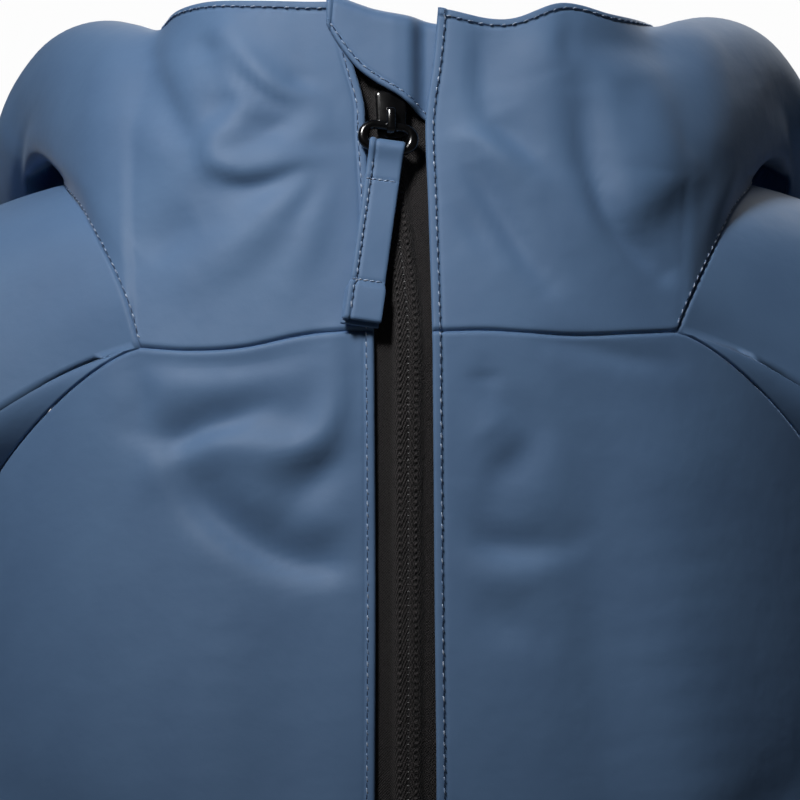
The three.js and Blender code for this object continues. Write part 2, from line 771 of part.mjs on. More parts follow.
// Geometry from points and triangles, turned so that its faces point out
function closedGeometry(points, index) {
  let volume = 0;
  for (let i = 0; i < index.length; i += 3)
    volume += points[index[i]].dot(points[index[i + 1]].clone().cross(points[index[i + 2]]));
  if (volume < 0) index.reverse();
  const geometry = new THREE.BufferGeometry().setFromPoints(points);
  geometry.setIndex(index);
  geometry.computeVertexNormals();
  return geometry;
}

// Hard pieces

// A solid joined from several closed geometries
function joined(geometries) {
  let solid = null;
  for (const geometry of geometries) {
    const plain = geometry.clone();
    plain.deleteAttribute("normal");
    plain.deleteAttribute("uv");
    const merged = mergeVertices(plain, 1e-4);
    const mesh = new wasm.Mesh({
      numProp: 3,
      vertProperties: merged.attributes.position.array,
      triVerts: new Uint32Array(merged.index.array),
    });
    const next = new wasm.Manifold(mesh);
    solid = solid ? solid.add(next) : next;
  }
  const mesh = solid.getMesh();
  const geometry = new THREE.BufferGeometry();
  geometry.setAttribute("position", new THREE.BufferAttribute(mesh.vertProperties, 3));
  geometry.setIndex(new THREE.BufferAttribute(mesh.triVerts, 1));
  geometry.computeVertexNormals();
  return geometry;
}

// A block between two corners
function block(low, high) {
  const size = high.map((v, i) => v - low[i]);
  return new THREE.BoxGeometry(...size).translate(...low.map((v, i) => v + size[i] / 2));
}

// A plate in the XZ plane with round corners, between two depths
function roundPlate(lowHalf, highHalf, low, high, corner, near, far) {
  const shape = new THREE.Shape();
  shape.moveTo(-lowHalf + corner, low);
  shape.lineTo(lowHalf - corner, low);
  shape.quadraticCurveTo(lowHalf, low, lowHalf, low + corner);
  shape.lineTo(highHalf, high - corner);
  shape.quadraticCurveTo(highHalf, high, highHalf - corner, high);
  shape.lineTo(-highHalf + corner, high);
  shape.quadraticCurveTo(-highHalf, high, -highHalf, high - corner);
  shape.lineTo(-lowHalf, low + corner);
  shape.quadraticCurveTo(-lowHalf, low, -lowHalf + corner, low);
  return new THREE.ExtrudeGeometry(shape, {
    depth: far - near,
    bevelEnabled: false,
    curveSegments: 4,
  })
    .rotateX(Math.PI / 2)
    .translate(0, far, 0);
}

// Slider in its own frame: y = 0 is the tape, z runs up the zip
const plateFront = -3.9;
const plateInner = -2.7;
const slot = 0.8;
const bailReach = 2.9;
const bailWire = 1.1;
const bailCorner = 0.9;
const bailHalf = 1.2;
const windowLow = -5;
const windowHigh = 0.6;
const plateCorner = 1.4;
const plateTaper = 0.7;
const backPlate = 1.2;
const chainRoom = 0.35;
const wedgeHalf = 0.45;
const wedgeLow = sliderHigh - 3.2;
const wedgeHigh = sliderHigh - 1.4;
const barY = plateFront - bailReach / 2;
const ringRoom = 0.4;
const barZ = windowLow + ringWire / 2 + ringRoom;

function sliderGeometry() {
  const half = sliderWidth / 2;
  const railIn = chainWidth / 2 + chainRoom;
  const railOut = half - plateTaper;
  const sink = 0.1;
  const bail = new THREE.Shape();
  const [outLow, outHigh] = [windowLow - bailWire, windowHigh + bailWire];
  const front = plateFront - bailReach - bailWire;
  bail.moveTo(plateInner, outLow);
  bail.lineTo(front + bailCorner, outLow);
  bail.quadraticCurveTo(front, outLow, front, outLow + bailCorner);
  bail.lineTo(front, outHigh - bailCorner);
  bail.quadraticCurveTo(front, outHigh, front + bailCorner, outHigh);
  bail.lineTo(plateInner, outHigh);
  const window = new THREE.Path();
  window.moveTo(plateFront, windowLow);
  window.lineTo(plateFront, windowHigh);
  window.lineTo(plateFront - bailReach, windowHigh);
  window.lineTo(plateFront - bailReach, windowLow);
  bail.holes.push(window);
  const bar = new THREE.ExtrudeGeometry(bail, {
    depth: 2 * bailHalf,
    bevelEnabled: false,
    curveSegments: 3,
  });
  // The shape's x is the depth y, its y is the height z, and it is extruded along x
  bar.applyMatrix4(new THREE.Matrix4().set(0, 0, 1, -bailHalf, 1, 0, 0, 0, 0, 1, 0, 0, 0, 0, 0, 1));
  return joined([
    roundPlate(railOut, half, sliderLow, sliderHigh, plateCorner, plateFront, plateInner),
    roundPlate(railOut, half, sliderLow, sliderHigh, plateCorner, slot, slot + backPlate),
    block([-railOut, plateInner - sink, sliderLow + 1], [-railIn, -slot, sliderHigh - 1]),
    block([railIn, plateInner - sink, sliderLow + 1], [railOut, -slot, sliderHigh - 1]),
    block([-wedgeHalf, plateInner - sink, wedgeLow], [wedgeHalf, slot + sink, wedgeHigh]),
    bar,
  ]);
}

// Frame of the slider on the tape
function sliderFrame() {
  const out = placketNormal(sliderZ);
  const origin = placketPoint(zipShift, sliderZ).addScaledVector(out, -tapeInset(sliderZ));
  const inward = out.clone().negate();
  const sideways = new THREE.Vector3(1, 0, 0);
  return new THREE.Matrix4()
    .makeBasis(sideways, inward, sideways.clone().cross(inward))
    .setPosition(origin);
}

// Frame of the puller: its origin is on the ring's upper bar, x runs along the bar and z up the strip
function pullerFrame() {
  const hinge = new THREE.Vector3(0, barY, barZ).applyMatrix4(sliderFrame());
  hinge.x = ringX;
  const bar = new THREE.Vector3(Math.cos(stripTilt), 0, -Math.sin(stripTilt));
  const up = new THREE.Vector3(Math.sin(stripTilt), 0, Math.cos(stripTilt))
    .multiplyScalar(Math.cos(stripLean))
    .add(new THREE.Vector3(0, Math.sin(stripLean), 0));
  return new THREE.Matrix4().makeBasis(bar, up.clone().cross(bar), up).setPosition(hinge);
}

function ringGeometry() {
  const half = (ringWidth - ringWire) / 2;
  const drop = ringHeight - ringWire;
  const corner = 2.6;
  const path = new THREE.CurvePath();
  const corners = [[half, 0], [half, -drop], [-half, -drop], [-half, 0]];
  corners.forEach(([x, z], i) => {
    const [nextX, nextZ] = corners[(i + 1) % 4];
    const [pastX, pastZ] = corners[(i + 2) % 4];
    const long = Math.hypot(nextX - x, nextZ - z);
    const along = new THREE.Vector3(nextX - x, 0, nextZ - z).divideScalar(long);
    const turned = new THREE.Vector3(pastX - nextX, 0, pastZ - nextZ).normalize();
    const from = new THREE.Vector3(x, 0, z).addScaledVector(along, corner);
    const to = new THREE.Vector3(nextX, 0, nextZ).addScaledVector(along, -corner);
    const next = new THREE.Vector3(nextX, 0, nextZ);
    path.add(new THREE.LineCurve3(from, to));
    path.add(new THREE.QuadraticBezierCurve3(to, next, next.clone().addScaledVector(turned, corner)));
  });
  return new THREE.TubeGeometry(path, 32, ringWire / 2, 8, true);
}

// The strip in side view: a loop round the ring's lower bar, the doubled strip and its thicker end
function stripGeometry() {
  const barDrop = ringHeight - ringWire;
  const hole = ringWire / 2 + wallClearance;
  const loop = hole + 1;
  const slack = 1;
  const loopNeck = 4.5;
  const half = stripThickness / 2;
  const endHalf = 1.6;
  const endLong = 11;
  const endStep = 0.8;
  const low = -barDrop - stripLength + loop;
  const shape = new THREE.Shape();
  shape.moveTo(-half, -barDrop - loopNeck);
  shape.lineTo(-loop, -barDrop);
  shape.lineTo(-loop, -barDrop + slack);
  shape.absarc(0, -barDrop + slack, loop, Math.PI, 0, true);
  shape.lineTo(loop, -barDrop);
  shape.lineTo(half, -barDrop - loopNeck);
  shape.lineTo(half, low + endLong);
  shape.lineTo(endHalf, low + endLong - endStep);
  shape.lineTo(endHalf, low);
  shape.lineTo(-endHalf, low);
  shape.lineTo(-endHalf, low + endLong - endStep);
  shape.lineTo(-half, low + endLong);
  const window = new THREE.Path();
  window.absarc(0, -barDrop + slack, hole, 0, Math.PI, false);
  window.absarc(0, -barDrop, hole, Math.PI, 2 * Math.PI, false);
  shape.holes.push(window);
  const geometry = new THREE.ExtrudeGeometry(shape, {
    depth: stripWidth,
    bevelEnabled: false,
    curveSegments: 8,
  });
  // The shape's x is the depth y, its y is the height z, and it is extruded along x
  geometry.applyMatrix4(
    new THREE.Matrix4().set(0, 0, 1, -stripWidth / 2, 1, 0, 0, 0, 0, 1, 0, 0, 0, 0, 0, 1),
  );
  return geometry;
}

// The closed coil on the tapes, a low bar with a flat back and a crowned front
function chainGeometry() {
  const rows = 30;
  const lift = tapeThickness / 2 + wallClearance;
  const section = [
    { x: -1, out: 0 },
    { x: -0.92, out: 0.75 },
    { x: -0.4, out: 1 },
    { x: 0.4, out: 1 },
    { x: 0.92, out: 0.75 },
    { x: 1, out: 0 },
  ];
  const points = [];
  const index = [];
  const top = sliderZ - 1;
  const bottom = boxTop;
  for (let row = 0; row <= rows; row++) {
    const z = lerp(top, bottom, rowShare(row, rows));
    for (const corner of section) {
      const x = zipMiddle(z) + (corner.x * chainWidth) / 2;
      const out = lift - tapeInset(z) + corner.out * chainHeight;
      points.push(placketPoint(0, z).addScaledVector(placketNormal(z), out).setX(x));
    }
  }
  const n = section.length;
  for (let row = 0; row < rows; row++)
    for (let i = 0; i < n; i++) {
      const [a, b] = [row * n + i, row * n + ((i + 1) % n)];
      index.push(a, b, b + n, a, b + n, a + n);
    }
  for (let i = 1; i < n - 1; i++) {
    index.push(0, i + 1, i);
    index.push(rows * n, rows * n + i, rows * n + i + 1);
  }
  return closedGeometry(points, index);
}

function zipBoxGeometry() {
  const z = zipBottomZ + zipBoxLength / 2;
  const half = zipBoxLength / 2;
  const depth = 1.9;
  const sunk = 0.4;
  const corner = 1.5;
  const centre = placketPoint(0, z).addScaledVector(placketNormal(z), -tapeInset(z) - sunk);
  return joined([
    roundPlate(zipBoxHalf, zipBoxHalf, -half, half - wallClearance, corner, -depth, depth),
  ])
    .rotateX(Math.asin(-placketNormal(z).z))
    .translate(centre.x, centre.y, centre.z);
}

// Assembly

const group = new THREE.Group();

function addMesh(name, geometry, material) {
  const mesh = new THREE.Mesh(geometry, material);
  mesh.name = name;
  group.add(mesh);
  return mesh;
}

const seams = { left: seamLines("left"), right: seamLines("right") };

const panels = [];
function addPanel(name, grid, facing, { tube = false, thickness = clothWall, material = cloth } = {}) {
  panels.push({ name, grid, tube, thickness, material, normals: gridNormals(grid, facing, tube) });
}

for (const side of ["left", "right"]) {
  const sign = sideSign[side];
  addPanel(`front_${side}`, frontPanel(side, seams[side]), -sign);
  addPanel(`hood_${side}`, hoodPanel(side, seams[side]), sign);
  addPanel(`sleeve_${side}`, sleevePanel(side, seams[side]), -sign, { tube: true });
  addPanel(`zip_tape_${side}`, tapePanel(side), -sign, { thickness: tapeThickness, material: tapeWeave });
}
addPanel("back_body", backPanel(seams), 1);
addPanel("chin_guard", guardPanel(), 1);

const shared = sharedNormals(panels);
for (const panel of panels) addMesh(panel.name, wallGeometry(panel, shared), panel.material);

addMesh("zip_chain", chainGeometry(), tapeWeave);
addMesh("zip_box", zipBoxGeometry(), blackMetal);
addMesh("zip_slider", sliderGeometry(), blackMetal).applyMatrix4(sliderFrame());
addMesh("pull_ring", ringGeometry(), blackMetal).applyMatrix4(pullerFrame());
addMesh("pull_strip", stripGeometry(), cloth).applyMatrix4(pullerFrame());

export default group;
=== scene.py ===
import math

import bpy
import numpy as np
from mathutils import Matrix, Vector


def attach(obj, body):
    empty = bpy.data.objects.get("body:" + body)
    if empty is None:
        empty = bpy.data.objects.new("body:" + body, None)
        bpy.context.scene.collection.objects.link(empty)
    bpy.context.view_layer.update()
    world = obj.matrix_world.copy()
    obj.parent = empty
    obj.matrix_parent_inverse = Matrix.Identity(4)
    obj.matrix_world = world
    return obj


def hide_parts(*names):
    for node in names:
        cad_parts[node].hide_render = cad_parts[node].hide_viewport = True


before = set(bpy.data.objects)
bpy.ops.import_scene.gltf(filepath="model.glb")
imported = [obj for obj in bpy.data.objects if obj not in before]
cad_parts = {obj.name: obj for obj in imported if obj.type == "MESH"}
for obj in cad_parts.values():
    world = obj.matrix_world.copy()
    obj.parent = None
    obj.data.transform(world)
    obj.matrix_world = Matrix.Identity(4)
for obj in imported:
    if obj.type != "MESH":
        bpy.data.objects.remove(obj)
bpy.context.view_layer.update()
bpy.ops.object.select_all(action="DESELECT")
scene = bpy.context.scene

# The coat's own sizes are in millimetres and become metres when a mesh is made.
# Left and right are as seen from the front, which faces -Y.

print("camera")
view = {"middle": (-0.0022, -0.095, -0.0572), "distance": 2.2, "across": 0.216}
camera = bpy.data.objects.new("camera", bpy.data.cameras.new("camera"))
scene.collection.objects.link(camera)
camera.location = (view["middle"][0], view["middle"][1] - view["distance"], view["middle"][2])
camera.rotation_euler = (math.radians(90), 0, 0)
camera.data.sensor_width = 36
camera.data.lens = 36 * view["distance"] / view["across"]
camera.data.clip_end = 50
scene.camera = camera


# shape of the coat

coat = {
    "roundness": 2.3, "hemZ": -530, "chestZ": -38.6, "chinZ": 50, "armpitZ": -150,
    "backNeckZ": -8, "neckCornerX": 50, "neckCornerZ": -4, "yokeCornerX": 73,
    "rimFrontY": -45, "hoodClearance": 6, "cloth": 1.0,
    "edgeStitch": 2.6, "edgePuff": 0.4, "hem": 20, "hemPuff": 0.25,
}
rings = {  # half width, depth in front and behind
    "z": (-530, -400, -280, -150, -90, -38.6, -8),
    "half": (176, 162, 148, 136, 132, 124, 112),
    "front": (119, 115, 111, 106, 99.5, 92, 82),
    "back": (113, 107, 102, 104, 97, 84, 63),
}
edges = {  # distance of each front edge from the middle
    "z": (-530, -165, -111, -57, -39.6, -3, 16, 24, 35, 50),
    "left": (9, 8.9, 8.7, 9.0, 9.2, 10.4, 11.6, 12, 15.1, 19),
    "right": (8, 7.6, 7.1, 6.7, 6.5, 5.4, 4.7, 5.2, 6.8, 8.2),
}
chest = {
    "out": (8, 20, 30, 45, 60, 73),
    "left": (-38.6, -38.6, -39.9, -43, -43.8, -42.9),
    "right": (-38.6, -38.3, -38.8, -39.7, -39.2, -38.6),
}
rim = {
    "out": (8, 27, 42, 55, 63, 67, 69, 71, 69, 57, 31, 0),
    "y": (-62, -60.5, -57.5, -50, -38, -20, 8, 38, 68, 98, 116, 122),
    "left": (52, 52, 52.4, 52.4, 50.6, 47.2, 44, 41, 37.5, 33, 30.5, 30),
    "right": (50.4, 47.1, 51.8, 49.1, 47.8, 46.6, 44, 41, 37.5, 33, 30.5, 30),
}
shoulder = ((77.5, -72.5, -28), (88, -48, -7), (95, -6, 3), (84, 32, 2))
roll = {  # the roll at the side of the neck, by the share of the way from seam to rim
    "share": (0, 0.25, 0.5, 0.7, 0.86, 1),
    "out": (0, 12, 19, 18, 10, 0),
    "up": (0, 3, 12, 18, 14.5, 0),
}
bag = {  # the hood that hangs on the back
    "share": (0, 0.08, 0.18, 0.34, 0.45, 0.52, 0.6, 0.75, 0.89, 1),
    "out": (0, 1, 9, 20, 24, 36, 50, 49, 33, 0),
    "up": (0, 21, -8, -95, -160, -190, -168, -104, -42, 0),
}
stations = {  # 0 zip, 1 yoke corner, 2 shoulder point, 3 neck corner, 4 middle of the back
    "at": (0, 1, 1.5, 2, 2.5, 3, 4),
    "roll": (0, 0.35, 0.75, 1, 0.65, 0.15, 0),
    "depth": (0, 0, 0, 0.06, 0.36, 0.84, 1),
    "spread": (0, 0, 0, 0.2, 0.75, 1, 1),
    "rim": (0, 0.25, 0.37, 0.48, 0.6, 0.77, 1),
}
sleeve = {
    "upperArm": (194, -2, -164), "lean": 12, "length": 212,
    "along": (0, 70, 140, 212), "half": (40, 40, 38, 36), "depth": (60, 53, 45, 38),
    "forward": (0, 2, 8, 18),
    "turnAt": (0, 1, 2, 3, 4), "turn": (0, 100, 180, 256, 360),
    "leaveAt": (0, 0.5, 1, 2, 3, 3.5, 4),
    "leaveX": (1, 0.95, 0.8, 0.97, 0.84, 0.95, 1),
    "leaveY": (0, 0, 0.5, 0, -0.35, 0, 0),
    "leaveZ": (-0.15, -0.25, -0.2, -0.22, -0.22, -0.25, -0.15),
    "pull": (0.85, 0.85, 0.9, 1.05, 0.9, 0.85, 0.85),
}
sleeveFolds = (  # place along the sleeve, middle and reach round it, slant, width, height
    (40, 30, 70, 16, 7, -3.0), (78, 50, 80, -14, 6, -3.2), (104, 350, 85, 10, 6, -3.0),
    (134, 70, 90, 16, 7, -2.4), (176, 220, 90, -12, 7, -2.0), (58, 200, 60, -10, 8, -1.6),
    (120, 200, 70, 12, 7, -1.8), (158, 20, 60, -10, 6, -1.6),
)
signs = {"left": -1, "right": 1}


def lerp(a, b, t):
    return a + (b - a) * t


def smooth(low, high, x):
    t = np.clip((x - low) / (high - low), 0, 1)
    return t * t * (3 - 2 * t)


def unit(v):
    return v / np.maximum(np.linalg.norm(v, axis=-1, keepdims=True), 1e-9)


def at(table, key, column, x):  # smooth curve through a table's rows
    xs, ys = np.array(table[key], float), np.array(table[column], float)
    x = np.clip(x, xs[0], xs[-1])
    slope = np.empty(len(xs))
    slope[1:-1] = (ys[2:] - ys[:-2]) / (xs[2:] - xs[:-2])
    slope[0] = (ys[1] - ys[0]) / (xs[1] - xs[0])
    slope[-1] = (ys[-1] - ys[-2]) / (xs[-1] - xs[-2])
    i = np.clip(np.searchsorted(xs, x, side="right") - 1, 0, len(xs) - 2)
    span = xs[i + 1] - xs[i]
    t = (x - xs[i]) / span
    return (
        ys[i] * (2 * t**3 - 3 * t**2 + 1) + ys[i + 1] * (3 * t**2 - 2 * t**3)
        + slope[i] * span * (t**3 - 2 * t**2 + t) + slope[i + 1] * span * (t**3 - t**2)
    )


def curve(points, count):  # evenly spaced points on a smooth curve
    p = np.array(points, float)
    p = np.vstack([2 * p[0] - p[1], p, 2 * p[-1] - p[-2]])
    knots = np.concatenate([[0], np.cumsum(np.sqrt(np.linalg.norm(np.diff(p, axis=0), axis=1)))])
    fine = []
    for i in range(1, len(p) - 2):
        t = np.linspace(knots[i], knots[i + 1], 60, endpoint=i == len(p) - 3)[:, None]
        k = knots[i - 1:i + 3]
        q = p[i - 1:i + 3]
        a = [((k[j + 1] - t) * q[j] + (t - k[j]) * q[j + 1]) / (k[j + 1] - k[j]) for j in range(3)]
        b = [((k[j + 2] - t) * a[j] + (t - k[j]) * a[j + 1]) / (k[j + 2] - k[j]) for j in range(2)]
        fine.append(((k[2] - t) * b[0] + (t - k[1]) * b[1]) / (k[2] - k[1]))
    fine = np.vstack(fine)
    return evenly(fine, count) if count else fine


def reachAlong(line):  # distance from a line's first point to each of its points
    return np.concatenate([[0], np.cumsum(np.linalg.norm(np.diff(line, axis=0), axis=1))])


def evenly(line, count):
    far = reachAlong(line)
    where = np.linspace(0, far[-1], count) if np.isscalar(count) else far[-1] * np.asarray(count)
    return np.stack([np.interp(where, far, line[:, k]) for k in range(3)], axis=-1)


def bodyPoint(side, z, turn):
    z, turn = np.broadcast_arrays(np.asarray(z, float), np.asarray(turn, float))
    a = np.radians(turn)
    power = 2 / coat["roundness"]
    depth = np.where(turn > 90, at(rings, "z", "back", z), at(rings, "z", "front", z))
    x = at(rings, "z", "half", z) * np.abs(np.sin(a)) ** power
    y = -np.sign(np.cos(a)) * depth * np.abs(np.cos(a)) ** power
    return np.stack([signs[side] * x, np.where(turn == 90, 0, y), z], axis=-1)


def turnAt(z, out):
    share = np.clip(out / at(rings, "z", "half", z), 0, 1)
    return np.degrees(np.arcsin(share ** (coat["roundness"] / 2)))


def backDepth(x, z):
    share = np.clip(1 - (np.abs(x) / at(rings, "z", "half", z)) ** coat["roundness"], 0, 1)
    return at(rings, "z", "back", z) * share ** (1 / coat["roundness"])


rimFront = {"out": rim["out"][:5], "y": rim["y"][:5]}


def placketPoint(x, z):
    x, z = np.broadcast_arrays(np.asarray(x, float), np.asarray(z, float))
    low = np.minimum(z, coat["chestZ"])
    point = bodyPoint("right", low, turnAt(low, np.abs(x)))
    share = np.clip((z - coat["chestZ"]) / (coat["chinZ"] - coat["chestZ"]), 0, None)
    rimY = at(rimFront, "out", "y", np.abs(x))
    y = lerp(point[..., 1], rimY, share)
    return np.stack([x, y, z], axis=-1)


def placketNormal(z):
    rise = unit(placketPoint(0, z + 2) - placketPoint(0, z - 2))
    return np.cross(np.array([1.0, 0, 0]), rise)


def zipMiddle(z):
    return -4.6 * smooth(-42, 12, z)


def tapeInset(z):
    return lerp(1.4, 3, smooth(-12, 12, z))


# creases, in front view: points, width on its right and left hand (one, or several along it), height

relief = {  # how far a crease is felt, how its ends fade, and its share on the plackets beside the zip
    "reach": 2.6, "points": 48, "endShare": 0.3, "endPower": 0.8, "placketShare": 0.18,
}
creases = {
    "front": [
        # left yoke: two ridges fold round a hollow beside the collar, a fan runs to the shoulder
        ([(-50.5, 42), (-48.3, 36), (-46.2, 30), (-44, 24), (-48, 18), (-52.5, 13.5), (-51.5, 8.5),
          (-44, 5.5), (-38, 6.5), (-30, 9), (-23.5, 10.5)], 3.6, 7, 2.3),
        ([(-49, 43.5), (-44, 36.8), (-37, 30.3), (-31.5, 26.4), (-25.5, 24)], 5, 3.6, 1.9),
        ([(-48.7, 38), (-44.6, 30.4), (-38.9, 25.3), (-33.5, 23.4)], 3, 3.2, -1.7),
        ([(-34.1, 31.2), (-26.8, 28.7)], 2.6, 3, -0.9),
        ([(-58, 43), (-54.5, 35.5)], 4.2, 4.2, -1.1),
        ([(-55.5, 23.5), (-50, 21.5)], 4, 4, -0.7),
        ([(-46, 20), (-37, 17), (-30, 20.5)], 4.5, 5, -1.5),
        ([(-30, 17), (-15.5, 19.5)], 4, 4.5, 0.7),
        ([(-29.5, 12.2), (-14, 11.8)], 3, 3.4, -1.1),
        ([(-53, 1), (-44, 0.4), (-36, 2.2), (-30, 5), (-24.5, 8)], 5, 3.6, -1.4),
        ([(-70.5, 35.5), (-68.2, 28), (-64.6, 19.5), (-60, 11)], 5.6, 4, -2.6),
        ([(-77, 19.5), (-59, 9.5), (-50, 6.5)], 6.5, 5, 1.0),
        ([(-25, 7.5), (-33.4, -3), (-46, -15.2), (-58, -23)], 5.6, 7, 1.9),
        ([(-21, 6), (-22, -4), (-28.3, -17), (-33, -26)], 4.4, 5.2, 1.1),
        ([(-22.5, 5), (-26, -1.2), (-31.2, -8.4)], 2.6, 3, -0.9),
        ([(-73, -19), (-66, -13.5), (-57, -8)], 6, 7, -1.7),
        # right yoke: a flat band beside the zip, a long sharp fold towards the sleeve
        ([(20.6, 45), (20.4, 35), (20.4, 27), (23, 19.5)], 3.8, 9, -2.0),
        ([(11, 14.2), (19, 13.6), (26, 10), (34.5, 4.2)], 7, 3, 1.8),
        ([(23, 18.5), (28.5, 13), (35, 6.5)], 3, 6.5, -1.7),
        ([(16.3, 9.5), (18.6, 4.2), (23.2, -4), (28, -12), (32.9, -19.3), (38, -25.5)], 3.6, 4.2, -2.3),
        ([(11.6, -2.4), (18.2, -11.5), (23, -17)], 3, 4, -1.2),
        ([(49, 28), (48.9, 17), (50, 8.7), (51.6, 2.2), (53.4, -4.8), (56.7, -11.2), (61.5, -16.3),
          (69, -23)], (6, 5, 3.8, 3, 3), (5, 4.6, 4, 3.8), -3.2),
        ([(54.5, -7), (62, -2), (69, 4), (78, 12)], 8.5, 12, 2.9),
        ([(66, 30), (68, 16), (68, 5)], 12, 7, 2.2),
        ([(60.5, 31), (61.5, 18)], 4, 4, -0.7),
        ([(39.5, 47), (39, 40), (40.5, 33)], 8, 3.2, 1.2),
        ([(47, 41.5), (58, 40), (75, 38)], 6, 6, -2.6),
        # left lower front: cloth hangs from the seam and breaks over a ridge shaped like an S
        ([(-73, -46.5), (-63, -48), (-52, -48.4), (-40, -47.6), (-28, -44.6)], 3.4, 3.2, -0.9),
        ([(-72, -54), (-54, -54), (-34, -53)], 6, 6, 0.8),
        ([(-76, -47), (-73, -56), (-74, -64)], 4, 4, -1.4),
        ([(-73, -66.5), (-64, -67.8), (-56, -65.4), (-48, -62.8), (-40, -59.5), (-33, -60.5)],
         3.4, 6.5, -2.2),
        ([(-67, -75.5), (-59, -72.8), (-52, -69.6), (-45, -69.4), (-37, -70.4), (-29, -70), (-24, -67.4),
          (-20.4, -62), (-18.4, -55), (-18, -48), (-19, -40.5)], (8, 9, 9, 8, 5.5, 4, 4, 4), 3.6, 2.7),
        ([(-13.6, -44), (-13.6, -53), (-13.8, -62)], 3.6, 2.8, -1.5),
        ([(-63, -72.5), (-59, -81), (-55, -87.2), (-50, -92), (-44, -96.4), (-38, -99.6), (-30, -102),
          (-20, -102.6), (-11, -101)], 3.2, 9.5, -4.2),
        ([(-50, -78), (-42, -84), (-33, -89)], 6, 7, 1.0),
        ([(-31, -87), (-28, -81.8), (-22.5, -77.6), (-16, -74.2), (-11.5, -72)], 4.4, 6, -1.5),
        ([(-26, -92), (-18.5, -89.5), (-12, -87.5)], 5, 5, 0.9),
        ([(-53, -100), (-52, -115), (-53, -135), (-54, -165), (-56, -300), (-60, -500)], 12, 12, 1.8),
        ([(-34, -112), (-32, -135), (-34, -170)], 12, 12, -1.2),
        # right lower front: shallow dents near the zip, smooth towards the side
        ([(38, -41.5), (48, -43), (58, -45.5), (71, -47.5)], 3.4, 3.6, -1.1),
        ([(19.5, -49), (20, -54)], 3.4, 4.5, -1.1),
        ([(24, -56), (31, -62), (33, -67), (30.5, -73), (25, -78), (25.5, -84)], 4.6, 5.4, -1.4),
        ([(19.6, -63), (23, -67)], 4.6, 5, 1.0),
        ([(15, -79), (15.5, -84)], 4, 4, 0.9),
        ([(13.4, -86), (17, -92.5), (22.5, -96.6), (31, -98), (43, -97)], 3, 6.5, -2.3),
        ([(12, -99), (17.5, -103), (25, -105.5), (34.5, -104.5)], 5, 5, 1.1),
        ([(14.6, -108), (22.7, -117), (33.5, -121)], 4.6, 6, -1.1),
        ([(50, -60), (52, -110), (55, -165)], 10, 14, -1.8),
        # towards the sides and the hem
        ([(70, -80), (84, -230), (92, -350), (98, -510)], 16, 18, 3.4),
        ([(110, -160), (66, -195), (34, -205)], 11, 13, -2.6),
        ([(-116, -165), (-76, -185), (-34, -190)], 10, 12, -2.4),
        ([(-112, -215), (-70, -250), (-20, -262)], 9, 12, -1.6),
        ([(30, -300), (34, -400), (30, -512)], 16, 18, 2.2),
        ([(-28, -320), (-30, -420), (-26, -512)], 15, 17, 1.8),
    ],
    "back": [
        ([(-118, -160), (-70, -200), (-10, -215)], 11, 13, -3),
        ([(120, -170), (74, -215), (18, -240)], 11, 13, -3),
        ([(-104, -205), (-56, -246), (-6, -258)], 8, 11, -1.8),
        ([(98, -232), (52, -270), (0, -284)], 8, 11, -1.6),
        ([(-70, -270), (-84, -380), (-88, -510)], 16, 18, 4),
        ([(26, -290), (30, -400), (34, -510)], 16, 18, 3.4),
        ([(98, -280), (110, -400), (116, -510)], 14, 16, 3.4),
        ([(-20, -320), (-26, -420), (-26, -512)], 15, 16, -1.8),
    ],
}


def creaseHeight(name, x, z):
    height = np.zeros(np.shape(x))
    for points, right, left, tall in creases[name]:
        line = curve([(px, 0, pz) for px, pz in points], 0)[:, ::2]
        right, left = np.ravel(right), np.ravel(left)
        span = max(*right, *left) * relief["reach"]
        low, high = line.min(axis=0) - span, line.max(axis=0) + span
        near = (x > low[0]) & (x < high[0]) & (z > low[1]) & (z < high[1])
        if not near.any():
            continue
        p = np.stack([x[near], z[near]], axis=-1)
        line = evenly(np.insert(line, 1, 0, axis=1), relief["points"])[:, ::2]
        gap = p[:, None, :] - line[None]
        far = np.hypot(gap[..., 0], gap[..., 1])
        k = far.argmin(axis=1)
        way = np.gradient(line, axis=0)[k]
        best = gap[np.arange(len(k)), k]
        share = k / (relief["points"] - 1)
        d = far.min(axis=1)
        hand = way[:, 0] * best[:, 1] - way[:, 1] * best[:, 0]  # 1 straight to the left hand, -1 to the right
        hand = hand / np.maximum(np.hypot(way[:, 0], way[:, 1]) * d, 1e-6)
        width = lerp(np.interp(share, np.linspace(0, 1, len(right)), right),
                     np.interp(share, np.linspace(0, 1, len(left)), left), smooth(-1, 1, hand))
        ends = np.sin(np.pi * np.clip(share, 0.03, 0.97)) ** relief["endPower"]
        ends = lerp(relief["endShare"], 1, ends)
        height[near] += tall * ends * np.exp(-((d / width) ** 2))
    return height


def folded(points):  # a body point moved out or in by the creases; beside the zip it stays plain
    p = points.copy()
    x, y, z = p[..., 0], p[..., 1], p[..., 2]
    out = unit(np.stack([x * 0.6, y, np.zeros_like(x)], axis=-1))
    fromZip = np.abs(x - zipMiddle(z))
    beside = lerp(relief["placketShare"] * smooth(6, 12, fromZip), 1, smooth(13, 24, fromZip))
    front = beside * creaseHeight("front", x, z)
    back = creaseHeight("back", -x, z)
    blend = smooth(-6, 6, y)
    return p + out * (front * (1 - blend) + back * blend)[..., None]


# seams

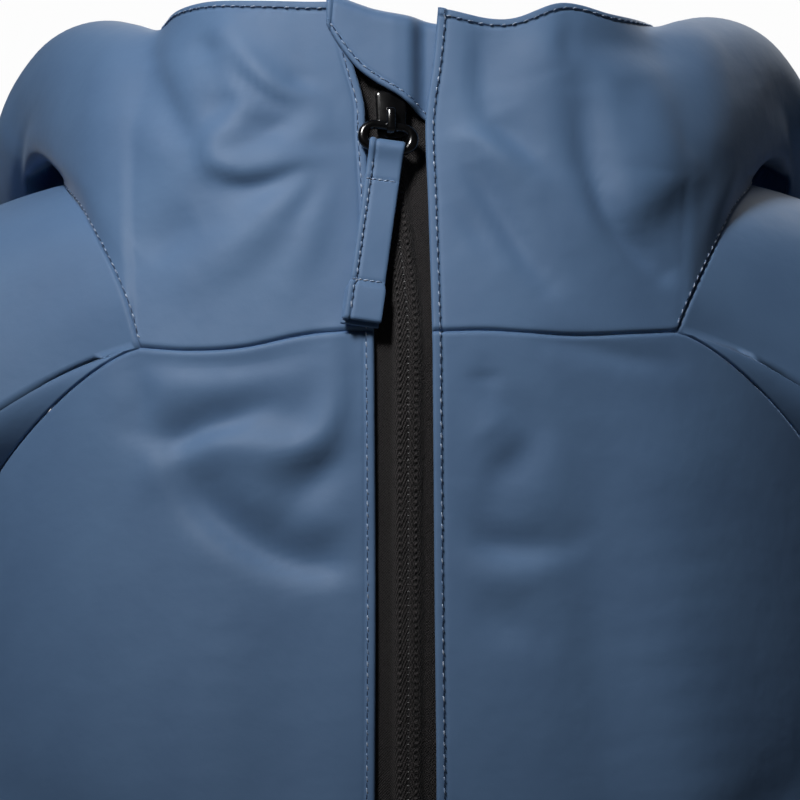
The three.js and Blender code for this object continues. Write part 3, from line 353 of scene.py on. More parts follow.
def seamLines(side):
    sign = signs[side]
    edge = at(edges, "z", side, coat["chestZ"])
    out = lerp(edge, coat["yokeCornerX"], np.linspace(0, 1, 100))
    z = at(chest, "out", side, out)
    chestLine = bodyPoint(side, z, turnAt(z, out))
    neckCorner = bodyPoint(side, coat["neckCornerZ"], 180 - turnAt(coat["neckCornerZ"], coat["neckCornerX"]))

    def raglan(start, bend):
        turn = turnAt(start[2], abs(start[0]))
        turn = turn if start[1] < 0 else 180 - turn
        share = np.linspace(0, 1, 120)
        return bodyPoint(side, lerp(start[2], coat["armpitZ"], share**bend), lerp(turn, 90, share))

    front = raglan(chestLine[-1], 1.35)
    back = raglan(neckCorner, 1.1)
    top = curve([chestLine[-1], *[(sign * x, y, z) for x, y, z in shoulder], neckCorner], 0)
    share = np.linspace(0, 1, 60)
    neckZ = lerp(coat["neckCornerZ"], coat["backNeckZ"], np.sin(share * np.pi / 2))
    neck = bodyPoint(side, neckZ, 180 - turnAt(neckZ, lerp(coat["neckCornerX"], 0, share)))
    return {"chest": chestLine, "front": front, "back": back, "shoulder": top, "neck": neck}


seams = {side: seamLines(side) for side in signs}


# grids: rows run down or up from the seam, columns round the body

def regrid(grid, near, far, middle, power=1.0):  # rows placed at fixed distances from both ends
    near, far = np.array(near, float), np.array(far, float)
    result = np.empty((len(near) + middle + len(far), grid.shape[1], 3))
    for c in range(grid.shape[1]):
        line = grid[:, c]
        reach = reachAlong(line)
        fit = min(1, 0.9 * reach[-1] / (near[-1] + far[-1] + 1e-6))
        first, last = near * fit, reach[-1] - far[::-1] * fit
        share = (np.arange(1, middle + 1) / (middle + 1)) ** power
        where = np.concatenate([first, lerp(first[-1], last[0], share), last])
        for k in range(3):
            result[:, c, k] = np.interp(where, reach, line[:, k])
    return result


foldRows = (0, 0.12, 0.35, 0.7, 1.1, 1.5, 1.85, 2.1, 2.35, 2.7, 3.2, 4.0, 5.2)
seamRows = (0, 0.35, 0.75, 1.25, 1.9, 2.4, 2.9, 3.6, 4.8)
hemRows = (0, 0.15, 0.4, 0.8, 1.4, 2.6, 5, 9, 13, 16.5, 18.6, 19.4, 20, 20.6, 21.4, 23.5)


def turned(grid):
    return np.swapaxes(grid, 0, 1)


def frontGrid(side):
    top = np.vstack([seams[side]["chest"], seams[side]["front"][1:]])
    share = np.linspace(0, 1, 240)[:, None]
    z = lerp(top[None, :, 2], coat["hemZ"], share)
    count = len(top)
    edgeTurn = turnAt(z, at(edges, "z", side, z))
    startEdge = turnAt(top[:, 2], at(edges, "z", side, top[:, 2]))
    startShare = (turnAt(top[:, 2], np.abs(top[:, 0])) - startEdge) / (90 - startEdge)
    startShare[0] = 0
    even = smooth(0, 0.7, share)
    spread = lerp(startShare[None], np.arange(count) / (count - 1), even)
    turn = lerp(edgeTurn, 90, spread)
    turn[:, -1] = 90
    grid = bodyPoint(side, z, turn)
    grid[0] = top
    grid = turned(regrid(turned(grid), foldRows, seamRows, 82))
    return folded(regrid(grid, seamRows, hemRows, 150, 1.35))


def backGrid():
    def half(side):
        return np.vstack([seams[side]["back"][1:][::-1], seams[side]["neck"]])

    left, right = half("left"), half("right")
    top = np.vstack([left, right[::-1][1:]])
    middle = len(left) - 1
    share = np.linspace(0, 1, 200)[:, None]
    grids = []
    for side, part, columns in (("left", top[:middle + 1], np.arange(middle + 1)),
                                ("right", top[middle:], np.arange(middle, len(top)))):
        z = lerp(part[None, :, 2], coat["hemZ"], share)
        hemTurn = lerp(180, 90, np.abs(columns - middle) / middle)[None]
        start = 180 - turnAt(part[:, 2], np.abs(part[:, 0]))[None]
        turn = lerp(start, hemTurn, smooth(0, 0.7, share))
        turn[:, 0 if side == "left" else -1] = 90
        grid = bodyPoint(side, z, turn)
        grid[0] = part
        grids.append(grid)
    grid = np.concatenate([grids[0], grids[1][:, 1:]], axis=1)
    grid = turned(regrid(turned(grid), seamRows, seamRows, 120))
    return folded(regrid(grid, seamRows, hemRows, 105, 1.2))


def hoodGrid(side):
    sign = signs[side]
    parts = [seams[side]["chest"], seams[side]["shoulder"], seams[side]["neck"]]
    counts = (58, 96, 30)
    base, station = [], []
    reach = (0, 1, 3, 4)
    for k, (part, count) in enumerate(zip(parts, counts)):
        even = evenly(part, count + 1)
        base.append(even if k == 0 else even[1:])
        at0 = np.linspace(reach[k], reach[k + 1], count + 1)
        station.append(at0 if k == 0 else at0[1:])
    base, station = np.vstack(base), np.concatenate(station)
    rimPoints = np.stack([sign * np.array(rim["out"], float), np.array(rim["y"], float),
                          np.array(rim[side], float)], axis=-1)
    front = rimPoints[:, 1] < coat["rimFrontY"]
    rimPoints[front, 1] = placketPoint(rimPoints[front, 0], rimPoints[front, 2])[:, 1]
    rimPoints[0, 0] = sign * at(edges, "z", side, coat["chinZ"])
    rimLine = evenly(curve(rimPoints, 0), np.clip(at(stations, "at", "rim", station), 0, 1))
    share = np.linspace(0, 1, 170)[:, None]

    def value(name):
        return at(stations, "at", name, station)[None]

    grid = lerp(base[None], rimLine[None], share[..., None])
    sideways = unit(np.stack([base[:, 0], base[:, 1], 0 * base[:, 0]], axis=-1))[None]
    behind = unit(np.stack([base[:, 0] * 0.4, np.abs(base[:, 1]), 0 * base[:, 0]], axis=-1))[None]
    rolled = np.maximum(value("roll"), 0)
    grid = grid + sideways * (rolled * at(roll, "share", "out", share))[..., None]
    grid[..., 2] += rolled * at(roll, "share", "up", share)
    grid = grid + behind * (value("spread") * at(bag, "share", "out", share))[..., None]
    grid[..., 2] += value("depth") * at(bag, "share", "up", share)
    clear = coat["hoodClearance"] * smooth(0, 0.2, share)
    low = (station[None] > 2.2) & (grid[..., 2] < base[None, :, 2] + 10)
    grid[..., 1] = np.where(low, np.maximum(grid[..., 1], backDepth(grid[..., 0], grid[..., 2]) + clear),
                            grid[..., 1])
    grid[:, -1, 0] = 0
    z = lerp(base[0, 2], rimPoints[0, 2], share[:, 0])
    grid[:, 0] = placketPoint(sign * at(edges, "z", side, z), z)
    grid = turned(regrid(turned(grid), foldRows, seamRows, len(station) - 14))
    grid = regrid(grid, seamRows, foldRows, 66)
    column = reachAlong(grid[0])
    chestLong = np.linalg.norm(np.diff(seams[side]["chest"], axis=0), axis=1).sum()
    onYoke = 1 - smooth(chestLong, chestLong + 30, column)[None, :, None]
    grid = lerp(grid, folded(grid), onYoke)
    return grid, column, chestLong


def armPoint(side, along, turn):
    sign = signs[side]
    lean = math.radians(sleeve["lean"])
    a = np.radians(turn)
    inward = np.array([-math.cos(lean), 0, -math.sin(lean)])
    down = np.array([math.sin(lean), 0, -math.cos(lean)])
    centre = np.array(sleeve["upperArm"], float) + down * along[..., None]
    centre[..., 1] -= at(sleeve, "along", "forward", along)
    folds = np.zeros(np.broadcast(along, turn).shape)
    for place, middle, reach, slant, width, tall in sleeveFolds:
        away = (turn - middle + 180) % 360 - 180
        fade = np.maximum(0, 1 - (away / reach) ** 2)
        offset = along - place - slant * away / reach
        wide = np.where(offset > 0, width * 1.5, width)
        folds += tall * fade * np.exp(-((offset / wide) ** 2))
    half = at(sleeve, "along", "half", along) + folds
    depth = at(sleeve, "along", "depth", along) + folds
    centre = centre + inward * (half * np.cos(a))[..., None]
    centre[..., 1] -= depth * np.sin(a)
    centre[..., 0] *= sign
    return centre


def sleeveGrid(side):
    sign = signs[side]
    line = seams[side]
    parts = [line["front"][::-1], line["shoulder"], line["back"]]
    counts = (40, 72, 40)
    reach = (0, 1, 3, 4)
    loop, station = [], []
    for k, (part, count) in enumerate(zip(parts, counts)):
        loop.append(evenly(part, count + 1)[:-1])
        station.append(np.linspace(reach[k], reach[k + 1], count + 1)[:-1])
    loop, station = folded(np.vstack(loop)), np.concatenate(station)
    lean = math.radians(sleeve["lean"])
    down = np.array([sign * math.sin(lean), 0, -math.cos(lean)])
    turn = at(sleeve, "turnAt", "turn", station)
    end = armPoint(side, np.zeros_like(turn), turn)
    leave = unit(np.stack([sign * at(sleeve, "leaveAt", "leaveX", station),
                           at(sleeve, "leaveAt", "leaveY", station),
                           at(sleeve, "leaveAt", "leaveZ", station)], axis=-1))
    pull = at(sleeve, "leaveAt", "pull", station) * np.linalg.norm(end - loop, axis=-1)
    t = np.linspace(0, 1, 80, endpoint=False)[:, None, None]
    top = (loop * (2 * t**3 - 3 * t**2 + 1) + leave * pull[:, None] * (t**3 - 2 * t**2 + t)
           + end * (3 * t**2 - 2 * t**3) + down * pull[:, None] * (t**3 - t**2))
    along = np.linspace(0, sleeve["length"], 120)[:, None]
    low = armPoint(side, np.broadcast_to(along, (120, len(turn))), np.broadcast_to(turn, (120, len(turn))))
    return regrid(np.concatenate([top, low]), seamRows, hemRows, 78)


# walls

shell = {  # how far and how wide a seam and a stitch line sink in, and how an edge is rounded
    "seamSink": 0.95, "seamWide": 0.55, "stitchSink": 0.32, "stitchWide": 0.42, "bead": 0.85, "tip": 0.1,
}


def gridNormals(grid, facing, tube):
    if tube:
        wide = np.concatenate([grid[:, -1:], grid, grid[:, :1]], axis=1)
        across = wide[:, 2:] - wide[:, :-2]
    else:
        across = np.gradient(grid, axis=1)
    along = np.gradient(grid, axis=0)
    return unit(np.cross(across, along)) * facing


def distances(grid):  # from the first row, the last row, the first column and the last one
    rows = np.linalg.norm(np.diff(grid, axis=0), axis=-1)
    down = np.concatenate([np.zeros((1, grid.shape[1])), np.cumsum(rows, axis=0)])
    columns = np.linalg.norm(np.diff(grid, axis=1), axis=-1)
    over = np.concatenate([np.zeros((grid.shape[0], 1)), np.cumsum(columns, axis=1)], axis=1)
    return down, down[-1:] - down, over, over[:, -1:] - over


def makeMesh(name, points, faces, uv=None, material=None, slots=None):
    mesh = bpy.data.meshes.new(name)
    mesh.from_pydata((np.asarray(points) / 1000).tolist(), [], faces)
    mesh.validate()
    if uv is not None:
        layer = mesh.uv_layers.new(name="cut")
        index = np.empty(len(mesh.loops), dtype=np.int32)
        mesh.loops.foreach_get("vertex_index", index)
        layer.data.foreach_set("uv", (np.asarray(uv)[index] / 1000).astype(np.float32).ravel())
    mesh.polygons.foreach_set("use_smooth", np.ones(len(mesh.polygons), dtype=bool))
    for each in material if isinstance(material, (list, tuple)) else [material]:
        mesh.materials.append(each)
    if slots is not None:
        mesh.polygons.foreach_set("material_index", np.asarray(slots, dtype=np.int32))
    piece = bpy.data.objects.new(name, mesh)
    scene.collection.objects.link(piece)
    return piece


# A cloth shell round a grid. Each border is None, a seam, or a fold with its puff and stitch distance.
def wall(name, grid, facing, borders, thickness, materials, tube=False):
    n = gridNormals(grid, facing, tube)
    d = distances(grid)
    outer = np.zeros(grid.shape[:2]) + thickness / 2
    inner = np.zeros(grid.shape[:2]) + thickness / 2
    sink = np.zeros(grid.shape[:2])
    for finish, away in zip(borders, d):
        if finish is None:
            continue
        kind, stitch = finish
        if kind == "seam":
            sink += shell["seamSink"] * np.exp(-((away / shell["seamWide"]) ** 2))
        else:
            around = 1 - np.minimum(away, shell["bead"]) / shell["bead"]
            around = np.maximum(np.sqrt(np.clip(1 - around**2, 0, 1)), shell["tip"])
            outer = (outer + kind * (1 - smooth(stitch - 0.5, stitch + 0.4, away))) * around
            inner = inner * around
        if stitch:
            sink += shell["stitchSink"] * np.exp(-(((away - stitch) / shell["stitchWide"]) ** 2))
    top = grid + n * (outer - sink)[..., None]
    under = grid - n * (inner + sink)[..., None]
    rows, width = grid.shape[:2]
    count = rows * width
    points = np.concatenate([top.reshape(-1, 3), under.reshape(-1, 3)])
    r, c = np.meshgrid(np.arange(rows - 1), np.arange(width if tube else width - 1), indexing="ij")
    r, c = r.ravel(), c.ravel()
    right = (c + 1) % width
    quads = np.stack([r * width + c, r * width + right,
                      (r + 1) * width + right, (r + 1) * width + c], axis=-1)
    if facing < 0:
        quads = quads[:, ::-1]
    back = quads[:, ::-1] + count
    walls = []
    ring = np.arange(width if tube else width - 1)
    for row, flip in ((0, False), (rows - 1, True)):
        a = row * width + ring
        b = row * width + (ring + 1) % width
        side = np.stack([b, a, a + count, b + count], axis=-1)
        walls.append(side[:, ::-1] if flip != (facing < 0) else side)
    if not tube:
        line = np.arange(rows - 1)
        for column, flip in ((0, True), (width - 1, False)):
            a = line * width + column
            b = (line + 1) * width + column
            side = np.stack([b, a, a + count, b + count], axis=-1)
            walls.append(side[:, ::-1] if flip != (facing < 0) else side)
    faces = np.concatenate([quads, back, *walls])
    over = d[2] if not tube else np.broadcast_to(
        np.arange(width) * np.linalg.norm(np.diff(grid, axis=1), axis=-1).mean(), grid.shape[:2])
    uv = np.stack([over, d[0]], axis=-1).reshape(-1, 2)
    slots = np.concatenate([np.zeros(len(quads)), np.ones(len(back)), np.zeros(len(faces) - 2 * len(quads))])
    piece = makeMesh(name, points, faces.tolist(), np.concatenate([uv, uv]), materials, slots)
    return piece, top, n


# Short closed tubes along many small lines, each of k points with the radii at those points
def tubes(name, lines, radii, up, material, sides=6):
    lines = np.asarray(lines, float)
    n, k = lines.shape[:2]
    way = unit(np.gradient(lines, axis=1))
    across = unit(np.cross(way, np.asarray(up)[:, None, :]))
    lift = np.cross(across, way)
    turn = np.arange(sides) * 2 * math.pi / sides
    ring = (across[:, :, None] * np.cos(turn)[None, None, :, None]
            + lift[:, :, None] * np.sin(turn)[None, None, :, None])
    points = lines[:, :, None] + ring * np.asarray(radii)[None, :, None, None]
    caps = lines[:, [0, -1]]
    verts = np.concatenate([points.reshape(n, -1, 3), caps], axis=1)
    each = k * sides + 2
    j, i = np.meshgrid(np.arange(k - 1), np.arange(sides), indexing="ij")
    j, i = j.ravel(), i.ravel()
    nextI = (i + 1) % sides
    quads = np.stack([j * sides + i, (j + 1) * sides + i,
                      (j + 1) * sides + nextI, j * sides + nextI], axis=-1)
    i = np.arange(sides)
    nextI = (i + 1) % sides
    low = np.stack([np.full(sides, k * sides), i, nextI], axis=-1)
    last = (k - 1) * sides
    high = np.stack([np.full(sides, k * sides + 1), last + nextI, last + i], axis=-1)
    start = (np.arange(n) * each)[:, None, None]
    faces = (quads[None] + start).reshape(-1, 4).tolist()
    faces += (low[None] + start).reshape(-1, 3).tolist() + (high[None] + start).reshape(-1, 3).tolist()
    return makeMesh(name, verts.reshape(-1, 3), faces, None, material)


sewing = {
    "pitch": 3.1, "thread": 0.2, "long": 1.55, "lift": 0.16, "dip": 0.45, "slant": 0.3,
    # hole, holeDeep and holeSwell size the dark tubes of painted shade in the stitch pits
    "hole": 0.19, "holeDeep": 0.1,
    "along": (0, 0.1, 0.3, 0.5, 0.7, 0.9, 1),
    "threadSwell": (0.35, 0.8, 1, 1.04, 1, 0.8, 0.35), "holeSwell": (0.3, 0.8, 1, 1, 1, 0.8, 0.3),
}
threadLines, pitShadeLines = {}, {}


# Stitches along a path on the cloth: a thread with painted glints, then a dark tube of painted shade in the
# pit where it sinks in
def sew(group, path, normals, start=0.0, pitch=sewing["pitch"]):
    path, normals = np.asarray(path), unit(np.asarray(normals))
    reach = reachAlong(path)
    first = start + (np.arange(max(int((reach[-1] - start) / pitch), 1)) + 0.1) * pitch
    uneven = 0.12 * np.sin(first * 2.3) + 0.1 * np.sin(first * 0.71 + 1)
    t = np.array(sewing["along"])

    def lay(begin, long, lift, slant):
        where = begin[:, None] + t[None] * long[:, None]
        p = np.stack([np.interp(where, reach, path[:, k]) for k in range(3)], axis=-1)
        n = unit(np.stack([np.interp(where, reach, normals[:, k]) for k in range(3)], axis=-1))
        side = unit(np.cross(n, np.gradient(p, axis=1)))
        return p + n * lift[None, :, None] + side * ((t - 0.5) * slant)[None, :, None], n[:, 3]

    long = sewing["long"] * (1 + uneven)
    arch = sewing["lift"] - sewing["dip"] * (2 * np.abs(t - 0.5)) ** 4
    threadLines.setdefault(group, []).append(lay(first, long, arch, sewing["slant"]))
    # a dark tube of painted shade lies in the pit after each stitch
    pit = np.full(len(t), sewing["holeDeep"] - sewing["hole"])
    pitShadeLines.setdefault(group, []).append(lay(first + long, pitch - long * 0.96, pit, 0.0))


def makeThread(group, body, material, dark):
    for name, lines, radii, paint in (
        (group, threadLines[group], np.array(sewing["threadSwell"]) * sewing["thread"], material),
        # the second group is the dark tubes of painted shade in the stitch pits
        (f"{group}_pit_shade", pitShadeLines[group], np.array(sewing["holeSwell"]) * sewing["hole"], dark),
    ):
        points, normals = (np.concatenate(part) for part in zip(*lines))
        piece = tubes(name, points, radii, normals, paint)
        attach(piece, body)


# The line on a panel at a distance from its first row, last row, first column or last column (0 to 3)
def lineAt(top, normals, axis, place):
    d = distances(top)[axis]
    if axis < 2:
        return np.array([[np.interp(place, *pairs(d[:, c], top[:, c, k])) for k in range(3)]
                         for c in range(top.shape[1])]), normals[0 if axis == 0 else -1]
    return np.array([[np.interp(place, *pairs(d[r], top[r, :, k])) for k in range(3)]
                     for r in range(top.shape[0])]), normals[:, 0 if axis == 2 else -1]


def pairs(d, values):
    return (d, values) if d[-1] > d[0] else (d[::-1], values[::-1])


# materials

def linear(text):
    values = [int(text[i:i + 2], 16) / 255 for i in (1, 3, 5)]
    return tuple(v / 12.92 if v <= 0.04045 else ((v + 0.055) / 1.055) ** 2.4 for v in values) + (1.0,)


def addNode(tree, kind, settings=None, links=None, **values):
    node = tree.nodes.new(kind)
    for name, value in (settings or {}).items():
        setattr(node, name, value)
    for name, value in values.items():
        node.inputs[name.replace("_", " ")].default_value = value
    for name, socket in (links or {}).items():
        tree.links.new(socket, node.inputs[name])
    return node


def newMaterial(name, **shader):
    material = bpy.data.materials.new(name)
    material.use_nodes = True
    tree = material.node_tree
    tree.nodes.clear()
    bsdf = addNode(tree, "ShaderNodeBsdfPrincipled", **shader)
    addNode(tree, "ShaderNodeOutputMaterial", links={"Surface": bsdf.outputs[0]})
    material.diffuse_color = bsdf.inputs["Base Color"].default_value
    return material, tree, bsdf


def colourBy(tree, target, factor, low, high, colours):  # a factor takes a socket from one colour to another
    blend = addNode(tree, "ShaderNodeValToRGB", links={"Fac": factor})
    for element, place, colour in zip(blend.color_ramp.elements, (low, high), colours):
        element.position = place
        element.color = linear(colour)
    tree.links.new(blend.outputs["Color"], target)


def coatedCloth():
    # polyurethane-coated knit: smooth, rubbery, with a soft sheen and a very fine grain
    material, tree, bsdf = newMaterial("polyurethane coated knit", Roughness=0.62, IOR=1.5,
                                       Sheen_Weight=0.12, Sheen_Roughness=0.45)
    place = addNode(tree, "ShaderNodeTexCoord")
    cloud = addNode(tree, "ShaderNodeTexNoise", Scale=38.0, Detail=3.0, Roughness=0.55,
                    links={"Vector": place.outputs["Object"]})
    colourBy(tree, bsdf.inputs["Base Color"], cloud.outputs["Fac"], 0.3, 0.7, ("#5a7aa2", "#6081a9"))
    grain = addNode(tree, "ShaderNodeTexNoise", Scale=1700.0, Detail=2.0, Roughness=0.6,  # 0.6 mm pores
                    links={"Vector": place.outputs["Object"]})
    soft = addNode(tree, "ShaderNodeTexNoise", Scale=130.0, Detail=2.0, Roughness=0.5,
                   links={"Vector": place.outputs["Object"]})
    gloss = addNode(tree, "ShaderNodeMapRange", To_Min=0.57, To_Max=0.68,
                    links={"Value": soft.outputs["Fac"]})
    tree.links.new(gloss.outputs["Result"], bsdf.inputs["Roughness"])
    fine = addNode(tree, "ShaderNodeBump", Strength=0.35, Distance=0.00006,
                   links={"Height": grain.outputs["Fac"]})
    slack = addNode(tree, "ShaderNodeBump", Strength=0.5, Distance=0.0004,
                    links={"Height": soft.outputs["Fac"], "Normal": fine.outputs["Normal"]})
    tree.links.new(slack.outputs["Normal"], bsdf.inputs["Normal"])
    return material


def knitBack():
    # the uncoated side of the cloth: a matte warp knit with fine wales
    material, tree, bsdf = newMaterial("polyester knit backing", Roughness=0.85, IOR=1.5,
                                       Sheen_Weight=0.3, Sheen_Roughness=0.5)
    place = addNode(tree, "ShaderNodeUVMap", settings={"uv_map": "cut"})
    wales = addNode(tree, "ShaderNodeTexWave", Scale=0.314 / 0.0008, Distortion=1.5, Detail=1.0,
                    links={"Vector": place.outputs["UV"]})  # wales 0.8 mm apart
    colourBy(tree, bsdf.inputs["Base Color"], wales.outputs["Fac"], 0.1, 0.9, ("#4d688c", "#6483a8"))
    bump = addNode(tree, "ShaderNodeBump", Strength=0.5, Distance=0.00015,
                   links={"Height": wales.outputs["Fac"]})
    tree.links.new(bump.outputs["Normal"], bsdf.inputs["Normal"])
    return material


def threadMaterial():
    # spun polyester sewing thread, the cloth's blue with a silky sheen; its paler flecks are painted
    # highlights of glint
    material, tree, bsdf = newMaterial("polyester sewing thread", Roughness=0.42, IOR=1.55,
                                       Sheen_Weight=0.3, Sheen_Roughness=0.3)
    place = addNode(tree, "ShaderNodeTexCoord")
    glintFlecks = addNode(tree, "ShaderNodeTexNoise", Scale=900.0, Detail=1.0,
                    links={"Vector": place.outputs["Object"]})
    # painted highlight: noise runs the base colour from the cloth's blue up to a pale glint
    colourBy(tree, bsdf.inputs["Base Color"], glintFlecks.outputs["Fac"], 0.35, 0.65, ("#6482a9", "#c4d2e6"))
    return material


def paintedPitShade():
    # painted shade: the dark blue of the coating, darkened as the shade in the pit where the stitch pulls the
    # cloth in
    material, tree, bsdf = newMaterial("painted shade in a stitch pit", Roughness=0.7, IOR=1.5)
    place = addNode(tree, "ShaderNodeTexCoord")
    shade = addNode(tree, "ShaderNodeTexNoise", Scale=300.0, Detail=1.0,
                    links={"Vector": place.outputs["Object"]})
    colourBy(tree, bsdf.inputs["Base Color"], shade.outputs["Fac"], 0.4, 0.7, ("#182a47", "#3f5b80"))
    return material


def sineOf(tree, socket, length, shift=None):  # a sine along a coordinate, with its wavelength in metres
    turns = addNode(tree, "ShaderNodeMath", settings={"operation": "MULTIPLY"}, links={0: socket})
    turns.inputs[1].default_value = 2 * math.pi / length
    if shift is not None:
        turns = addNode(tree, "ShaderNodeMath", settings={"operation": "ADD"},
                        links={0: turns.outputs[0], 1: shift})
    return addNode(tree, "ShaderNodeMath", settings={"operation": "SINE"}, links={0: turns.outputs[0]})


def wovenTape():
    # woven polyester tape: matte black, seed weave outside and long floats over the coil
    material, tree, bsdf = newMaterial("woven polyester tape", Roughness=0.75, IOR=1.5,
                                       Sheen_Weight=0.06, Sheen_Roughness=0.5)
    place = addNode(tree, "ShaderNodeUVMap", settings={"uv_map": "cut"})
    split = addNode(tree, "ShaderNodeSeparateXYZ", links={"Vector": place.outputs["UV"]})
    cloud = addNode(tree, "ShaderNodeTexNoise", Scale=900.0, Detail=2.0, Roughness=0.7,
                    links={"Vector": place.outputs["UV"]})
    wander = addNode(tree, "ShaderNodeMath", settings={"operation": "MULTIPLY"},
                     links={0: cloud.outputs["Fac"]})
    wander.inputs[1].default_value = 9.0
    over = sineOf(tree, split.outputs["X"], 0.00074, wander.outputs[0])
    seed = sineOf(tree, split.outputs["Y"], 0.00078, wander.outputs[0])
    floats = sineOf(tree, split.outputs["Y"], 0.0019, wander.outputs[0])
    onCoil = addNode(tree, "ShaderNodeMapRange", From_Min=0.0034, From_Max=0.0042,
                     links={"Value": split.outputs["X"]})
    weft = addNode(tree, "ShaderNodeMix", links={"Factor": onCoil.outputs["Result"], "A": floats.outputs[0],
                                                 "B": seed.outputs[0]})
    knots = addNode(tree, "ShaderNodeMath", settings={"operation": "MULTIPLY_ADD"},
                    links={0: over.outputs[0], 1: weft.outputs[0], 2: cloud.outputs["Fac"]})
    # two lines of binding stitches hold the coil behind: small holes, one to a turn of the coil, sunk in the
    # bump and painted dark in the colour as shade
    off = addNode(tree, "ShaderNodeMath", settings={"operation": "SUBTRACT"}, links={0: split.outputs["X"]})
    off.inputs[1].default_value = 0.0021
    away = addNode(tree, "ShaderNodeMath", settings={"operation": "ABSOLUTE"}, links={0: off.outputs[0]})
    column = addNode(tree, "ShaderNodeMapRange", From_Min=0.00042, From_Max=0.00022, To_Max=1.3,
                     links={"Value": away.outputs[0]})
    beat = sineOf(tree, split.outputs["Y"], 0.00186)
    shadedHoles = addNode(tree, "ShaderNodeMath", settings={"operation": "MULTIPLY"},
                    links={0: column.outputs["Result"], 1: beat.outputs[0]})
    knots = addNode(tree, "ShaderNodeMath", settings={"operation": "SUBTRACT"},
                    links={0: knots.outputs[0], 1: shadedHoles.outputs[0]})
    # the selvage where the two tapes meet is one bright cord
    selvage = addNode(tree, "ShaderNodeMapRange", From_Min=0.00045, From_Max=0.0003,
                      links={"Value": split.outputs["X"]})
    both = addNode(tree, "ShaderNodeMix", settings={"data_type": "RGBA"},
                   links={"Factor": selvage.outputs["Result"]})
    colourBy(tree, both.inputs[6], knots.outputs[0], 0.1, 1.15, ("#060506", "#3d3839"))
    both.inputs[7].default_value = linear("#2b292c")
    tree.links.new(both.outputs[2], bsdf.inputs["Base Color"])
    bump = addNode(tree, "ShaderNodeBump", Strength=0.9, Distance=0.0003,
                   links={"Height": knots.outputs[0]})
    tree.links.new(bump.outputs["Normal"], bsdf.inputs["Normal"])
    return material


def coilNylon():
    # polyester monofilament of the coil: black, half matte
    material, tree, bsdf = newMaterial("polyester monofilament", Roughness=0.42, IOR=1.57)
    place = addNode(tree, "ShaderNodeTexCoord")
    noise = addNode(tree, "ShaderNodeTexNoise", Scale=1200.0, Detail=1.0,
                    links={"Vector": place.outputs["Object"]})
    colourBy(tree, bsdf.inputs["Base Color"], noise.outputs["Fac"], 0.3, 0.7, ("#0a0a0b", "#1a191b"))
    return material


def blackEnamel():
    # baked enamel on die-cast zinc: deep glossy black
    material, tree, bsdf = newMaterial("black baked enamel", Base_Color=linear("#070708"),
                                       Roughness=0.16, IOR=1.5, Coat_Weight=0.5,
                                       Coat_Roughness=0.06)
    place = addNode(tree, "ShaderNodeTexCoord")
    flow = addNode(tree, "ShaderNodeTexNoise", Scale=260.0, Detail=2.0,
                   links={"Vector": place.outputs["Object"]})
    colourBy(tree, bsdf.inputs["Base Color"], flow.outputs["Fac"], 0.35, 0.7, ("#060607", "#0e0e10"))
    gloss = addNode(tree, "ShaderNodeMapRange", To_Min=0.12, To_Max=0.22,
                    links={"Value": flow.outputs["Fac"]})
    tree.links.new(gloss.outputs["Result"], bsdf.inputs["Roughness"])
    bump = addNode(tree, "ShaderNodeBump", Strength=0.1, Distance=0.00005,
                   links={"Height": flow.outputs["Fac"]})
    tree.links.new(bump.outputs["Normal"], bsdf.inputs["Normal"])
    return material


clothBoth = [coatedCloth(), knitBack()]
threadBlue = threadMaterial()
# painted shade for the stitch pits
pitShadeBlue = paintedPitShade()
tapeBlack = wovenTape()
coilBlack = coilNylon()
enamel = blackEnamel()


seam = ("seam", 0)  # the four borders of a panel are given in the order top, hem, first side, last side
foldedEdge = (coat["edgePuff"], coat["edgeStitch"])
hem = (coat["hemPuff"], coat["hem"])


def finishCloth(piece, node):
    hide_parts(node)
    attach(piece, "coat")


# lower fronts

print("fronts")
for side, sign in signs.items():
    piece, top, n = wall(f"coatFront_{side}", frontGrid(side), -sign, (seam, hem, foldedEdge, seam),
                         coat["cloth"], clothBoth)
    finishCloth(piece, f"front_{side}")
    path, normals = lineAt(top, n, 2, coat["edgeStitch"])
    sew("stitching_fronts", path, normals)
    path, normals = lineAt(top, n, 1, coat["hem"])
    sew("stitching_hem", path, normals)

# back

print("back")
piece, top, n = wall("coatBack", backGrid(), 1, (seam, hem, seam, seam), coat["cloth"], clothBoth)
finishCloth(piece, "back_body")
path, normals = lineAt(top, n, 1, coat["hem"])
sew("stitching_hem", path, normals)

# hood halves with the yoke

print("hood")
for side, sign in signs.items():
    grid, column, chestLong = hoodGrid(side)
    piece, top, n = wall(f"hoodHalf_{side}", grid, sign, (seam, foldedEdge, foldedEdge, seam),
                         coat["cloth"], clothBoth)
    finishCloth(piece, f"hood_{side}")
    path, normals = lineAt(top, n, 2, coat["edgeStitch"])
    sew("stitching_yoke", path, normals, 0.5)
    path, normals = lineAt(top, n, 1, coat["edgeStitch"])
    sew("stitching_hood", path, normals, 3)
    path, normals = lineAt(top, n, 0, 2.4)
    sew("stitching_hood", path, normals, np.interp(chestLong, column, reachAlong(path)))

# sleeves

print("sleeves")
for side, sign in signs.items():
    piece, top, n = wall(f"coatSleeve_{side}", sleeveGrid(side), -sign, (seam, hem, None, None),
                         coat["cloth"], clothBoth, tube=True)
    finishCloth(piece, f"sleeve_{side}")
    path, normals = lineAt(np.concatenate([top, top[:, :1]], axis=1),
                           np.concatenate([n, n[:, :1]], axis=1), 1, coat["hem"])
    sew("stitching_cuffs", path, normals)

# chin guard

